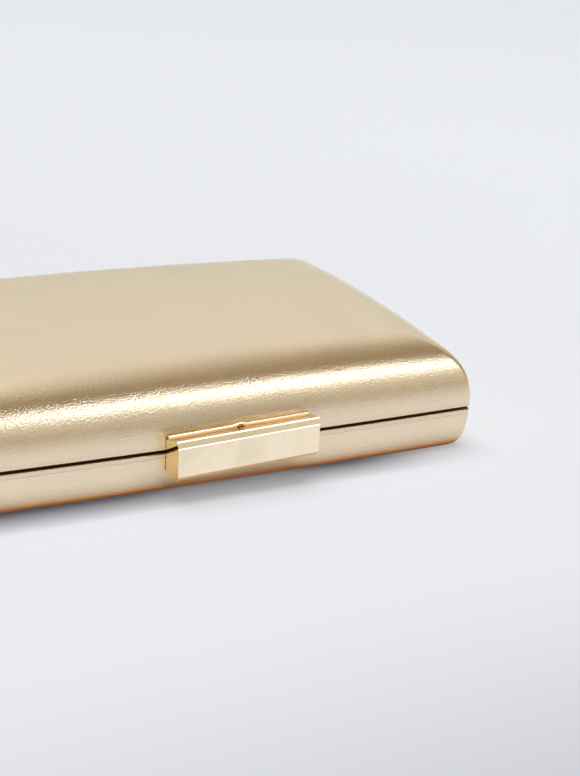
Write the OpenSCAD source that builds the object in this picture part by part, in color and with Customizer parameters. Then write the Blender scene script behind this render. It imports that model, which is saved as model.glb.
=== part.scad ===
// Hard-shell box clutch bag, lying on its lower half.
// Two pillow-shaped halves in metallic leatherette are hinged at the rear and held shut at the
// front by a polished bar latch. The origin is the middle of the flat underside, with the
// length along X, the latch on the -Y side and the hinges on the +Y side.

/* [Case] */
// Length of the case at its corners, along the parting line
case_length = 200; // [180:1:230]
// Depth of the case at its corners, from front to rear
case_depth = 125; // [110:1:145]
// Height of the lower half, from its flat underside to its rim
lower_height = 16.3; // [15:0.1:22]
// Height of the lid from its rim to its shoulders, where the crown starts
lid_height = 25; // [22:0.5:32]
// Open gap between the two rims when the case is shut
rim_gap = 1; // [0.9:0.05:1.4]
// Plan radius of the corners at the rims
corner_radius = 2; // [1:0.1:4]
// Part of the end rounding that the corner radius gains towards the top
corner_growth_share = 0.1; // [0:0.02:0.3]
// How far the front and rear bow out in their middle
side_bow = 1.2; // [0.4:0.1:2]
// How far the two ends bow out in their middle
end_bow = 1.5; // [0:0.1:2.5]

/* [Pillow form] */
// Width of the lid's rounding at the two ends
lid_end_round = 30; // [24:0.5:36]
// Width of the lid's rounding along front and rear
lid_side_round = 21; // [17:0.5:28]
// Fullness of the lid's rounding, where 2 is an ellipse and more is squarer
lid_fullness = 2.5; // [2.3:0.1:3.2]
// Rise of the lid's crown along its length
lid_crown_length = 1.8; // [0:0.1:3]
// Rise of the lid's crown across its depth
lid_crown_depth = 3.2; // [0:0.1:5]
// Width of the lower half's rounding at the two ends
lower_end_round = 11; // [9:0.5:15]
// Width of the lower half's rounding along front and rear
lower_side_round = 7.2; // [6.5:0.1:11]
// Fullness of the lower half's rounding
lower_fullness = 3.5; // [3:0.1:4]

/* [Walls] */
// Leatherette of the two covers
cover_wall = 0.9; // [0.7:0.1:1.2]
// Foam sheet under the leatherette
padding_wall = 0.8; // [0.5:0.1:1.1]
// Moulded shells
shell_wall = 1.5; // [1.2:0.1:2]
// Card-backed fabric linings
lining_wall = 0.7; // [0.5:0.1:1]
// Metal strip of the two rim frames
frame_wall = 1; // [0.8:0.1:1.3]
// How deep the rim frames reach into each half
frame_depth = 6.5; // [6.2:0.1:7]
// Wall of the lip that stands on the lower frame inside the lid
lip_wall = 0.8; // [0.6:0.1:1.1]
// Height of the lip above the lid's rim
lip_rise = 2.2; // [1.5:0.1:2.5]
// Height of the step that carries the lip
lip_step = 0.8; // [0.6:0.1:1]

/* [Latch] */
// Length of the latch bar against the case
latch_length = 56.1; // [50:0.5:64]
// How much shorter the bar is at its front face, over both ends
latch_draft = 1.6; // [0:0.1:2.5]
// How far the bar's front face stands out from the case
latch_depth = 8.7; // [8:0.1:10]
// Height of the bar's top ridge above the parting plane
latch_top = 8.1; // [7.6:0.1:8.6]
// Fall of the bar's top face from the ridge to its rear edge
latch_top_fall = 2.1; // [1.6:0.1:2.4]
// Height of the bar's underside below the parting plane
latch_bottom = 7.15; // [7:0.05:8]
// Depth of the sloped facet between top and front
facet_depth = 1.1; // [0.9:0.05:1.3]
// Height of the same facet
facet_height = 2.6; // [2:0.05:2.8]
// Depth of the turned-under edge between front and underside
heel_depth = 2.2; // [1.6:0.1:2.6]
// Height of the same edge
heel_height = 2.15; // [1.8:0.05:2.4]
// Wall of the hollow bar
latch_wall = 1.1; // [0.9:0.1:1.3]
// Lean of the whole latch, with its right end up
latch_tilt = 2.3; // [0:0.1:3]
// Radius of the latch's pin
latch_pin_radius = 0.5; // [0.4:0.05:0.6]
// Radius of the eyes on the latch plate
latch_eye_radius = 0.95; // [0.8:0.05:1]
// Distance of the pin from the bar's rear and underside
latch_knuckle_radius = 1.25; // [1.2:0.05:1.35]
// Width of each lug and eye along the pin
latch_lug_width = 4; // [3:0.5:4.5]
// Thickness of the latch plate and the catch plate
plate_wall = 0.8; // [0.6:0.1:0.9]
// Thickness of the latch's leaf spring
spring_wall = 0.3; // [0.2:0.05:0.4]
// Width of the leaf spring
spring_width = 12; // [8:0.5:13]

/* [Catch] */
// Width of the catch plate on the lid
catch_width = 18; // [15:0.5:22]
// Rise of the catch plate's arched top over its shoulders
catch_arch = 0.9; // [0.5:0.1:1.2]
// Height of the catch plate's top above the parting plane
catch_top = 7; // [6.8:0.1:7.4]
// Radius of the nub that the bar snaps over
nub_radius = 1.75; // [1.4:0.05:2]
// How far the nub stands out of the catch plate
nub_depth = 0.85; // [0.6:0.05:1.1]

/* [Hinges] */
// Width of each hinge
hinge_width = 30; // [24:1:36]
// Distance of each hinge's middle from the end of the case
hinge_end = 45; // [40:1:55]
// Outer radius of the hinge barrels
barrel_radius = 1.8; // [1.6:0.1:2.2]
// Radius of the hinge pins
hinge_pin_radius = 0.9; // [0.8:0.05:1]
// Thickness of the hinge leaves
leaf_wall = 0.5; // [0.4:0.05:0.55]
// Knuckles in each hinge
knuckles = 5; // [3:2:7]

/* [Pocket] */
// Distance of the slip pocket's sides from the ends of the lid
pocket_end = 42; // [36:1:55]
// Depth of the slip pocket
pocket_depth = 62; // [48:1:72]
// Thickness of the slip pocket's fabric panel
pocket_wall = 0.9; // [0.6:0.1:1.2]

/* [Rivets] */
// Radius of the rivets' shanks
rivet_radius = 0.75; // [0.6:0.05:0.85]
// Radius of the rivets' heads
rivet_head_radius = 1.3; // [1.1:0.05:1.4]
// Height of the rivets' heads
rivet_head_height = 0.45; // [0.3:0.05:0.5]
// Distance between the two rivets of a hinge leaf
hinge_rivet_pitch = 18; // [14:0.5:20]

/* [Fits] */
// Gap between the layers of a half
layer_gap = 0.1; // [0.05:0.05:0.15]
// Radial gap between a pin and its bore
pin_gap = 0.05; // [0.02:0.01:0.08]
// Gap between parts that pass or turn by each other
moving_gap = 0.3; // [0.25:0.05:0.35]
// Gap between parts that are seated on each other
seat_gap = 0.05; // [0.02:0.01:0.1]

/* [Hidden] */
$fn = 48;

// Overrun of every cut past the solid that it opens
overrun = 1;
// Least plan radius of an inner corner
least_corner = 0.3;

// Steps of the faceted forms: corner arc, long side, short side, rounding, crown, pocket
corner_steps = 3;
long_steps = 8;
short_steps = 6;
round_steps = 7;
crown_steps = 3;
pocket_steps = [10, 6];
// How sharply the bow fades from the outside of the case to its inside
bow_power = 4;

half_length = case_length / 2;
half_depth = case_depth / 2;
hinge_place = half_length - hinge_end;
pocket_width = case_length - 2 * pocket_end;
lower_rim = lower_height;
lid_rim = lower_rim + rim_gap;
parting = lower_rim + rim_gap / 2;

// Form of a half: height, end rounding, side rounding, fullness, crowns along length and depth
LID = [lid_height, lid_end_round, lid_side_round, lid_fullness, lid_crown_length, lid_crown_depth];
LOWER = [lower_height, lower_end_round, lower_side_round, lower_fullness, 0, 0];

// How far in from the cover's outside each layer lies
padding_offset = cover_wall + layer_gap;
shell_offset = padding_offset + padding_wall + layer_gap;
turned_edge = shell_offset + shell_wall;
lining_offset = turned_edge + layer_gap;
inside_offset = lining_offset + lining_wall;
core_start = cover_wall + layer_gap;
lining_start = frame_depth + moving_gap;

// Frames stand upright where the leaning shell walls leave room for them
frame_inset = lining_offset + max([
    for (form = [LID, LOWER]) for (round = [form[1], form[2]])
        edge_share(form, lining_offset, frame_depth) * (round - lining_offset)
]);
frame_inside = frame_inset + frame_wall;
lip_inset = frame_inside + moving_gap;

// Latch, in its own frame: origin on the front of the case at the parting plane, Y inwards
front_wall = half_depth + side_bow;
latch_rear = moving_gap - seat_gap;
plate_front = seat_gap + plate_wall;
latch_axis = [-latch_rear - latch_knuckle_radius, latch_knuckle_radius - latch_bottom];
latch_inner_front = latch_depth - latch_wall;
latch_top_slope = latch_top_fall / (latch_depth - facet_depth - latch_rear);
latch_ceiling = latch_top - latch_wall * (1 + latch_top_slope);
latch_floor = latch_bottom - plate_wall;
latch_floor_rear = -latch_axis[0] + latch_eye_radius + moving_gap;
plate_top = -moving_gap - rim_gap / 2;
plate_bottom = latch_axis[1] + latch_knuckle_radius + moving_gap;
plate_half = latch_length / 2 - latch_draft / 2 - latch_wall - 2 * moving_gap;
plate_rivet_place = spring_width / 2 + rivet_head_radius + 2 * moving_gap;
plate_rivet_level = plate_bottom + rivet_head_radius + seat_gap;
eye_width = latch_lug_width - moving_gap;
eye_place = plate_rivet_place + rivet_head_radius + moving_gap + eye_width / 2;
lug_place = eye_place + eye_width / 2 + moving_gap + latch_lug_width / 2;
latch_pin_half = lug_place + latch_lug_width / 2;
catch_bottom = rim_gap / 2 + moving_gap;
catch_rivet_place = catch_width / 3;
catch_rivet_level = rim_gap / 2 + lip_rise + rivet_head_radius + 2 * moving_gap;
nub_level = catch_top - nub_radius;
latch_lip_rear = plate_front + moving_gap;

// Hinges, with their axis behind the widest part of the case at the parting plane
hinge_axis = front_wall + barrel_radius + moving_gap;
knuckle_pitch = hinge_width / knuckles;
knuckle_gap = moving_gap / 2;
leaf_edge = rim_gap / 2 - seat_gap - leaf_wall;
leaf_reach = wall_place(frame_inside, hinge_place + hinge_width / 2) - seat_gap;
leaf_inside = leaf_reach - leaf_wall;
leaf_drop = frame_depth - moving_gap;
leaf_rivet_level = rim_gap / 2 + leaf_drop / 2;

// Share of an edge's rounding that is used up at a height above the rim
function edge_share(form, offset, height) =
    1 - pow(1 - pow(height / (form[0] - offset), form[3]), 1 / form[3]);

// Place of an upright wall of the front or rear, by its inset, at a place along the length
function wall_place(inset, along) =
    half_depth - inset
    + side_bow * (1 - pow(along / half_length, 2)) * pow(1 - inset / half_depth, bow_power);

// Plan rectangle with rounded corners, counter-clockwise from the +X side
function plan_ring(half_x, half_y, radius) = [
    for (quarter = [0:3])
        let (
            middle = corner_middle(quarter, half_x - radius, half_y - radius),
            next = corner_middle(quarter + 1, half_x - radius, half_y - radius),
            steps = quarter % 2 == 0 ? long_steps : short_steps
        )
        each concat(
            [for (i = [0:corner_steps]) middle + radius * heading(90 * (quarter + i / corner_steps))],
            [for (i = [1:steps - 1])
                middle + radius * heading(90 * (quarter + 1)) + (next - middle) * i / steps]
        )
];

function heading(angle) = [cos(angle), sin(angle)];

// Middle of the arc of one corner, counted counter-clockwise from +X, +Y
function corner_middle(quarter, x, y) =
    let (turn = quarter % 4)
    [turn == 0 || turn == 3 ? x : -x, turn < 2 ? y : -y];

// Plan points pushed out by the bows of the sides and ends
function bowed(points) = [
    for (p = points)
        let (u = p[0] / half_length, v = p[1] / half_depth)
        [
            p[0] + sign(u) * end_bow * (1 - v * v) * pow(abs(u), bow_power),
            p[1] + sign(v) * side_bow * (1 - u * u) * pow(abs(v), bow_power)
        ]
];

// Plan outline of an upright wall at an inset from the rim's outside
function plan_outline(inset) =
    bowed(plan_ring(half_length - inset, half_depth - inset, max(corner_radius - inset, least_corner)));

// One ring of a half's surface: edge is the used share of the rounding, level the share of the
// height, and spread the share of the plan that is left on the crown
function form_ring(form, offset, edge, level, spread = 1) =
    let (
        half_x = half_length - offset - (form[1] - offset) * edge,
        half_y = half_depth - offset - (form[2] - offset) * edge,
        radius = max(corner_radius + corner_growth_share * form[1] * edge - offset, least_corner)
    )
    [
        for (p = bowed(plan_ring(half_x * spread, half_y * spread, radius * spread)))
            [p[0], p[1], (form[0] - offset) * level + level * level * crown_at(form, p)]
    ];

// Rise of the crown over a plan point
function crown_at(form, p) =
    form[4] * (1 - pow(p[0] / half_length, 2)) + form[5] * (1 - pow(p[1] / half_depth, 2));

function flat_ring(ring, height) = [for (p = ring) [p[0], p[1], height]];

// Rings of one surface of a half, from its rim at a start height up to the crown's middle
function surface_rings(form, offset, start) = concat(
    [flat_ring(form_ring(form, offset, edge_share(form, offset, start), 0), start)],
    [
        for (i = [1:round_steps])
            let (
                turn = 90 * i / round_steps,
                level = pow(sin(turn), 2 / form[3]),
                edge = 1 - pow(max(cos(turn), 0), 2 / form[3])
            )
            if ((form[0] - offset) * level > start + layer_gap) form_ring(form, offset, edge, level)
    ],
    [for (i = [1:crown_steps - 1]) form_ring(form, offset, 1, 1, 1 - i / crown_steps)]
);

function crown_point(form, offset) = [0, 0, form[0] - offset + form[4] + form[5]];

function backwards(list) = [for (i = [len(list) - 1:-1:0]) list[i]];

// Faces of a closed skin: a fan, the strips between rings, and a fan
function skin_faces(rings, points) =
    let (last = rings * points + 1)
    concat(
        [for (i = [0:points - 1]) [0, 1 + (i + 1) % points, 1 + i]],
        [
            for (k = [0:rings - 2], i = [0:points - 1])
                let (a = 1 + k * points + i, b = 1 + k * points + (i + 1) % points)
                each [[a, b, b + points], [a, b + points, a + points]]
        ],
        [for (i = [0:points - 1]) [last - points + i, last - points + (i + 1) % points, last]]
    );

// Closed solid between two surfaces of a half, with extra rings between their rims
module layer(form, offset, wall, start, inner_start, edge_rings = []) {
    rings = concat(
        backwards(surface_rings(form, offset, start)),
        edge_rings,
        surface_rings(form, offset + wall, inner_start)
    );
    polyhedron(
        points = concat(
            [crown_point(form, offset)],
            [for (ring = rings) each ring],
            [crown_point(form, offset + wall)]
        ),
        faces = skin_faces(len(rings), len(rings[0]))
    );
}

// Cover of a half, with its edge turned in over the rim of padding and shell
module cover(form) {
    edge = form_ring(form, turned_edge, 0, 0);
    layer(form, 0, cover_wall, 0, cover_wall, [edge, flat_ring(edge, cover_wall)]);
}

// Places a half's own shape, made rim down, on the case
module as_lid() {
    translate([0, 0, lid_rim]) children();
}

module as_lower() {
    translate([0, 0, lower_rim]) mirror([0, 0, 1]) children();
}

// Upright ring between two insets and two heights
module upright_ring(outer, inner, bottom, top) {
    translate([0, 0, bottom]) linear_extrude(top - bottom) difference() {
        polygon(plan_outline(outer));
        polygon(plan_outline(inner));
    }
}

// Puts the latch's own frame in place
module at_latch() {
    translate([0, -front_wall, parting]) rotate([0, -latch_tilt, 0]) children();
}

// Extrudes a profile of depth and height along the case, about the middle
module along_case(length) {
    rotate([90, 0, 90]) linear_extrude(length, center = true) children();
}

// Round bar along Y between two places, given by their Y
module along_depth(radius, from, to) {
    translate([0, from, 0]) rotate([-90, 0, 0]) cylinder(to - from, radius, radius);
}

// Repeats its children mirrored to the other end
module both_ends() {
    children();
    mirror([1, 0, 0]) children();
}

module latch_rivet_places() {
    at_latch() both_ends() translate([plate_rivet_place, 0, plate_rivet_level]) children();
}

module catch_rivet_places() {
    at_latch() both_ends() translate([catch_rivet_place, 0, catch_rivet_level]) children();
}

// Holes through the front wall for the rivets of the latch or the catch
module front_rivet_bore() {
    along_depth(rivet_radius + pin_gap, -plate_front - overrun, frame_inside + side_bow + overrun);
}

module leaf_rivet_places(level) {
    both_ends() for (side = [-1, 1])
        translate([hinge_place + side * hinge_rivet_pitch / 2, 0, parting + level]) children();
}

module leaf_rivet_bore() {
    along_depth(rivet_radius + pin_gap, leaf_inside - overrun, hinge_axis - barrel_radius);
}

module lower_cover() {
    color("#c9ad7c") difference() {
        as_lower() cover(LOWER);
        latch_rivet_places() front_rivet_bore();
    }
}

module lower_padding() {
    color("#efe9dc") difference() {
        as_lower() layer(LOWER, padding_offset, padding_wall, core_start, core_start);
        latch_rivet_places() front_rivet_bore();
    }
}

module lower_shell() {
    color("#4a4540") difference() {
        as_lower() layer(LOWER, shell_offset, shell_wall, core_start, core_start);
        latch_rivet_places() front_rivet_bore();
    }
}

module lower_lining() {
    color("#cbb691") as_lower() layer(LOWER, lining_offset, lining_wall, lining_start, lining_start);
}

module upper_cover() {
    color("#d6bd8d") difference() {
        as_lid() cover(LID);
        catch_rivet_places() front_rivet_bore();
    }
}

module upper_padding() {
    color("#efe9dc") difference() {
        as_lid() layer(LID, padding_offset, padding_wall, core_start, core_start);
        catch_rivet_places() front_rivet_bore();
    }
}

module upper_shell() {
    color("#4a4540") difference() {
        as_lid() layer(LID, shell_offset, shell_wall, core_start, core_start);
        catch_rivet_places() front_rivet_bore();
    }
}

module upper_lining() {
    color("#cbb691") as_lid() layer(LID, lining_offset, lining_wall, lining_start, lining_start);
}

// Rim strip with a stepped lip that stands inside the lid and hides the gap
module lower_frame() {
    color("#d8b06a") difference() {
        union() {
            upright_ring(frame_inset, frame_inside, lower_rim - frame_depth, lower_rim);
            difference() {
                union() {
                    upright_ring(frame_inset, lip_inset + lip_wall, lower_rim - lip_step, lower_rim);
                    upright_ring(lip_inset, lip_inset + lip_wall, lower_rim, lid_rim + lip_rise);
                }
                both_ends() lip_notch();
            }
        }
        latch_rivet_places() front_rivet_bore();
        leaf_rivet_places(-leaf_rivet_level) leaf_rivet_bore();
    }
}

// Room for a hinge's leaves in the lip of the lower frame
module lip_notch() {
    width = hinge_width + 2 * moving_gap;
    translate([hinge_place - width / 2, 0, lower_rim - lip_step - overrun])
        cube([width, front_wall, lip_step + rim_gap + lip_rise + 2 * overrun]);
}

module upper_frame() {
    color("#d8b06a") difference() {
        upright_ring(frame_inset, frame_inside, lid_rim, lid_rim + frame_depth);
        catch_rivet_places() front_rivet_bore();
        leaf_rivet_places(leaf_rivet_level) leaf_rivet_bore();
    }
}

// One leaf of the hinge at +X, made for the lid: its knuckles are every other one
module hinge_leaf(first) {
    difference() {
        union() {
            for (i = [first:2:knuckles - 1]) translate([knuckle_place(i), hinge_axis, 0]) {
                along_case(knuckle_pitch - knuckle_gap) circle(barrel_radius);
                along_case(knuckle_pitch - knuckle_gap)
                    translate([leaf_inside - hinge_axis, leaf_edge])
                        square([hinge_axis - leaf_inside, leaf_wall]);
            }
            translate([hinge_place, leaf_inside, 0])
                along_case(hinge_width) translate([0, rim_gap / 2 - seat_gap])
                    square([leaf_wall, leaf_drop]);
        }
        translate([hinge_place, hinge_axis, 0])
            along_case(hinge_width + overrun) circle(hinge_pin_radius + pin_gap);
        for (side = [-1, 1])
            translate([hinge_place + side * hinge_rivet_pitch / 2, 0, leaf_rivet_level]) leaf_rivet_bore();
    }
}

function knuckle_place(i) = hinge_place - hinge_width / 2 + knuckle_pitch * (i + 1 / 2);

module lid_leaf() {
    color("#c89b4f") translate([0, 0, parting]) hinge_leaf(1);
}

module base_leaf() {
    color("#c89b4f") translate([0, 0, parting]) mirror([0, 0, 1]) hinge_leaf(0);
}

module right_lid_leaf() {
    lid_leaf();
}

module left_lid_leaf() {
    mirror([1, 0, 0]) lid_leaf();
}

module right_base_leaf() {
    base_leaf();
}

module left_base_leaf() {
    mirror([1, 0, 0]) base_leaf();
}

module right_hinge_pin() {
    color("#b98d45") translate([hinge_place, hinge_axis, parting])
        along_case(hinge_width) circle(hinge_pin_radius);
}

module left_hinge_pin() {
    mirror([1, 0, 0]) right_hinge_pin();
}

// Rivet of a hinge leaf: a shank through leaf and frame, with its head inside the case
module leaf_rivet() {
    shank_end = wall_place(frame_inset, hinge_place + hinge_width / 2);
    along_depth(rivet_radius, leaf_inside, shank_end);
    along_depth(rivet_head_radius, leaf_inside - rivet_head_height, leaf_inside);
}

module base_leaf_rivets() {
    color("#e0bd7c") leaf_rivet_places(-leaf_rivet_level) leaf_rivet();
}

module lid_leaf_rivets() {
    color("#e0bd7c") leaf_rivet_places(leaf_rivet_level) leaf_rivet();
}

// Profile of the latch bar, as depth and height, with its rear at the case
module latch_profile() {
    difference() {
        polygon([
            [-latch_rear, latch_top - latch_top_fall],
            [facet_depth - latch_depth, latch_top],
            [-latch_depth, latch_top - facet_height],
            [-latch_depth, heel_height - latch_bottom],
            [heel_depth / 3 - latch_depth, heel_height * 2 / 5 - latch_bottom],
            [heel_depth - latch_depth, -latch_bottom],
            [-latch_rear, -latch_bottom]
        ]);
        translate([latch_axis[0], latch_axis[1] - latch_knuckle_radius - overrun])
            square([latch_knuckle_radius + overrun, latch_knuckle_radius + overrun]);
    }
    translate(latch_axis) circle(latch_knuckle_radius);
}

// Hollow of the latch bar, open to the case and under the pin
module latch_hollow() {
    polygon([
        [overrun, latch_ceiling - latch_top_slope * (latch_inner_front - facet_depth + overrun)],
        [facet_depth - latch_inner_front, latch_ceiling],
        [-latch_inner_front, latch_top - facet_height - latch_wall / 2],
        [-latch_inner_front, heel_height - latch_bottom],
        [heel_depth - latch_inner_front, -latch_floor],
        [-latch_floor_rear, -latch_floor],
        [-latch_floor_rear, -latch_bottom - overrun],
        [overrun, -latch_bottom - overrun]
    ]);
}

// Lug of the bar: an eye round the pin that runs forward into the front wall
module latch_lug() {
    along_case(latch_lug_width) {
        translate(latch_axis) circle(latch_knuckle_radius);
        polygon([
            [latch_axis[0], latch_axis[1] + latch_knuckle_radius],
            [latch_axis[0], latch_axis[1] - latch_knuckle_radius],
            [heel_depth - latch_depth, -latch_bottom],
            [heel_depth - latch_inner_front - latch_wall, -latch_floor],
            [-latch_inner_front - latch_wall / 2, heel_height - latch_bottom],
            [-latch_inner_front - latch_wall / 2, latch_axis[1] + latch_knuckle_radius]
        ]);
    }
}

module latch_bar() {
    rear_half = latch_length / 2;
    front_half = rear_half - latch_draft / 2;
    height = latch_top + latch_bottom + 2 * overrun;
    color("#e2b765") at_latch() difference() {
        union() {
            difference() {
                intersection() {
                    along_case(latch_length) latch_profile();
                    translate([0, 0, -latch_bottom - overrun]) linear_extrude(height)
                        polygon([
                            [-rear_half, 0], [-front_half, -latch_depth],
                            [front_half, -latch_depth], [rear_half, 0]
                        ]);
                }
                along_case(2 * (front_half - latch_wall)) latch_hollow();
            }
            both_ends() translate([lug_place, 0, 0]) latch_lug();
        }
        translate([0, latch_axis[0], latch_axis[1]])
            along_case(2 * (latch_pin_half + moving_gap)) circle(latch_pin_radius + pin_gap);
        catch_notch(catch_width, latch_lip_rear);
        catch_notch(2 * nub_radius, plate_front + nub_depth + moving_gap);
    }
}

// Notch in the rear edge of the bar's top, where the catch rises through it
module catch_notch(width, depth) {
    translate([-width / 2 - moving_gap, -depth, 0])
        cube([width + 2 * moving_gap, depth, latch_top + overrun]);
}

module latch_pin() {
    color("#b98d45") at_latch() translate([0, latch_axis[0], latch_axis[1]])
        along_case(2 * latch_pin_half) circle(latch_pin_radius);
}

// Plate on the front of the lower half, with two eyes that hold the latch's pin
module latch_plate() {
    color("#d2a658") difference() {
        at_latch() difference() {
            union() {
                along_case(2 * plate_half) translate([-plate_front, plate_bottom])
                    square([plate_wall, plate_top - plate_bottom]);
                both_ends() translate([eye_place, 0, 0])
                    along_case(eye_width) {
                        translate(latch_axis) circle(latch_eye_radius);
                        polygon([
                            [-seat_gap, plate_bottom + plate_wall / 2],
                            [-plate_front, plate_bottom + plate_wall / 2],
                            [latch_axis[0] - latch_eye_radius, latch_axis[1]],
                            [latch_axis[0] + latch_eye_radius, latch_axis[1]]
                        ]);
                    }
            }
            translate([0, latch_axis[0], latch_axis[1]])
                along_case(latch_length) circle(latch_pin_radius + pin_gap);
        }
        latch_rivet_places() front_rivet_bore();
    }
}

module latch_plate_rivets() {
    inside = front_wall - wall_place(frame_inside, plate_rivet_place) + seat_gap;
    color("#e0bd7c") latch_rivet_places() {
        along_depth(rivet_radius, -plate_front, inside);
        along_depth(rivet_head_radius, -plate_front - rivet_head_height, -plate_front);
        along_depth(rivet_head_radius, inside, inside + rivet_head_height);
    }
}

// Leaf spring on the latch plate, bent forward to bear on the floor of the bar
module latch_spring() {
    root = plate_front + seat_gap;
    tip_depth = -latch_axis[0] + latch_knuckle_radius * 2;
    tip_level = moving_gap - latch_floor;
    color("#8f8f93") at_latch() along_case(spring_width) polygon([
        [-root, plate_top],
        [-root - spring_wall, plate_top],
        [-root - spring_wall, plate_bottom],
        [-tip_depth - spring_wall, tip_level + spring_wall],
        [-tip_depth, tip_level],
        [-root, plate_bottom - spring_wall]
    ]);
}

// Arched plate on the front of the lid, with the nub that the bar snaps over
module catch_plate() {
    arch_radius = (pow(catch_width / 2, 2) + pow(catch_arch, 2)) / (2 * catch_arch);
    color("#d2a658") difference() {
        at_latch() {
            rotate([90, 0, 0]) translate([0, 0, seat_gap]) linear_extrude(plate_wall) intersection() {
                translate([-catch_width / 2, catch_bottom]) square([catch_width, catch_top - catch_bottom]);
                translate([0, catch_top - arch_radius]) circle(arch_radius, $fn = 96);
            }
            translate([0, 0, nub_level]) along_depth(nub_radius, -plate_front - nub_depth, -seat_gap);
        }
        catch_rivet_places() front_rivet_bore();
        catch_rivet_places()
            along_depth(rivet_head_radius + pin_gap, -plate_front - overrun, rivet_head_height - plate_front);
    }
}

module catch_plate_rivets() {
    inside = front_wall - wall_place(frame_inside, catch_rivet_place) + seat_gap;
    color("#e0bd7c") catch_rivet_places() {
        along_depth(rivet_radius, -plate_front, inside);
        along_depth(rivet_head_radius, -plate_front, -plate_front + rivet_head_height - seat_gap);
        along_depth(rivet_head_radius, inside, inside + rivet_head_height);
    }
}

// Slip pocket on the lining under the lid's crown: a panel that follows the crown
module slip_pocket() {
    columns = pocket_steps[0];
    rows = pocket_steps[1];
    count = (columns + 1) * (rows + 1);
    grid = [
        for (wall = [0, pocket_wall], j = [0:rows], i = [0:columns])
            let (
                x = pocket_width * (i / columns - 1 / 2),
                y = pocket_depth * (j / rows - 1 / 2)
            )
            [x, y, lid_height - inside_offset - moving_gap - pocket_wall + wall + crown_at(LID, [x, y])]
    ];
    border = concat(
        [for (i = [0:columns]) i],
        [for (j = [1:rows]) j * (columns + 1) + columns],
        [for (i = [columns - 1:-1:0]) rows * (columns + 1) + i],
        [for (j = [rows - 1:-1:1]) j * (columns + 1)]
    );
    faces = concat(
        [
            for (j = [0:rows - 1], i = [0:columns - 1])
                let (a = j * (columns + 1) + i, b = a + columns + 1)
                each [
                    [a, a + 1, b + 1], [a, b + 1, b],
                    [count + a, count + b + 1, count + a + 1], [count + a, count + b, count + b + 1]
                ]
        ],
        [
            for (k = [0:len(border) - 1])
                let (a = border[k], b = border[(k + 1) % len(border)])
                each [[a, count + a, count + b], [a, count + b, b]]
        ]
    );
    color("#bfa77f") as_lid() polyhedron(points = grid, faces = faces);
}

lower_cover();
lower_padding();
lower_shell();
lower_lining();
lower_frame();
left_base_leaf();
right_base_leaf();
left_hinge_pin();
right_hinge_pin();
base_leaf_rivets();
latch_plate();
latch_plate_rivets();
latch_spring();
upper_cover();
upper_padding();
upper_shell();
upper_lining();
upper_frame();
left_lid_leaf();
right_lid_leaf();
lid_leaf_rivets();
catch_plate();
catch_plate_rivets();
slip_pocket();
latch_bar();
latch_pin();
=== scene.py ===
"""Looks of a hard-shell box clutch bag: metallic leatherette, polished gold latch, lined inside.

The script is laid out as a Blender add-on and run as a script. Everything is in metres, in the
frame of the packed part: the floor is z = 0, the length runs along X and the latch faces -Y.
"""

import math

import bmesh
import bpy
import numpy as np
from bpy.props import FloatProperty, FloatVectorProperty, IntProperty, PointerProperty
from mathutils import Matrix, Vector


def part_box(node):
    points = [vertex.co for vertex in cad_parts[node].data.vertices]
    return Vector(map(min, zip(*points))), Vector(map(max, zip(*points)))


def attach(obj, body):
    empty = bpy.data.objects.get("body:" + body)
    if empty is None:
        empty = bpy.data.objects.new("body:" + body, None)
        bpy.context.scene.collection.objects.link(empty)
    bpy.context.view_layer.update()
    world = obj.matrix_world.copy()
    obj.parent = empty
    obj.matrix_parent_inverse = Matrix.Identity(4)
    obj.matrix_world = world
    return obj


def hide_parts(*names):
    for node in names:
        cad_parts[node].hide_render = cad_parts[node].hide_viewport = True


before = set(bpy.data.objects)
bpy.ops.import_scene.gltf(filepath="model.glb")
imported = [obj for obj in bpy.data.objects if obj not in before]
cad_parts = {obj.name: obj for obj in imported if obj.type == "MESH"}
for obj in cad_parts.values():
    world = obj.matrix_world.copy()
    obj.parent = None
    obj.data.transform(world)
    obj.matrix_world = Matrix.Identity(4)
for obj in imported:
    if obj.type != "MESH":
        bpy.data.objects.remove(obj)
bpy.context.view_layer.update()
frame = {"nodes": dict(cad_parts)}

NODES = frame["nodes"]
MM = 0.001
BASE, LID, LATCH = "base", "lid", "latch"

bl_info = {
    "name": "Box clutch bag",
    "version": (1, 0, 0),
    "blender": (4, 5, 0),
    "location": "View3D > Sidebar > Clutch",
    "description": "Covers, linings, metal parts and studio of a hard-shell box clutch bag",
    "category": "Object",
}

# Sizes that the packed part already has
LID_BOX, LOWER_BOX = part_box("upper_cover"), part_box("lower_cover")
LID_RIM, LOWER_RIM = LID_BOX[0].z, LOWER_BOX[1].z
POCKET_LOW, POCKET_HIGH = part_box("slip_pocket")
POCKET_X, POCKET_Y = (POCKET_HIGH.x - POCKET_LOW.x) / 2, (POCKET_HIGH.y - POCKET_LOW.y) / 2

# The two halves: whether it is the lid, what its pieces and its nodes are called, and its body
HALVES = ((True, "lid", "upper", LID), (False, "base", "lower", BASE))

# Seed of the lower lining's gathers, one less than the upper one's
LINING_SEED = 3

# The smallest plan radius of a corner, and how far from the hem's inner border its seam runs
SMALLEST_CORNER = 0.3 * MM
HEM_SEAM = 0.8 * MM

# The latch's own frame: where it lies on the front, its lean, its upward direction, and the
# height of its top's rear edge
LATCH_PLACE = Vector((0, -63.7, 16.8)) * MM
LATCH_LEAN = math.radians(2.3)
LATCH_UP = Vector((-math.sin(LATCH_LEAN), 0, math.cos(LATCH_LEAN)))
LATCH_BACK = 6.0 * MM

# Lands ground on the latch bar, above its facet, below it, and between that one and the front:
# each one's width and how far up it faces
HIGH_LAND, HIGH_RISE = 0.4 * MM, math.radians(33)
LOW_LAND, LOW_RISE = 0.27 * MM, math.radians(31)
SHADE_LAND, SHADE_RISE = 0.14 * MM, math.radians(10)

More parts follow.
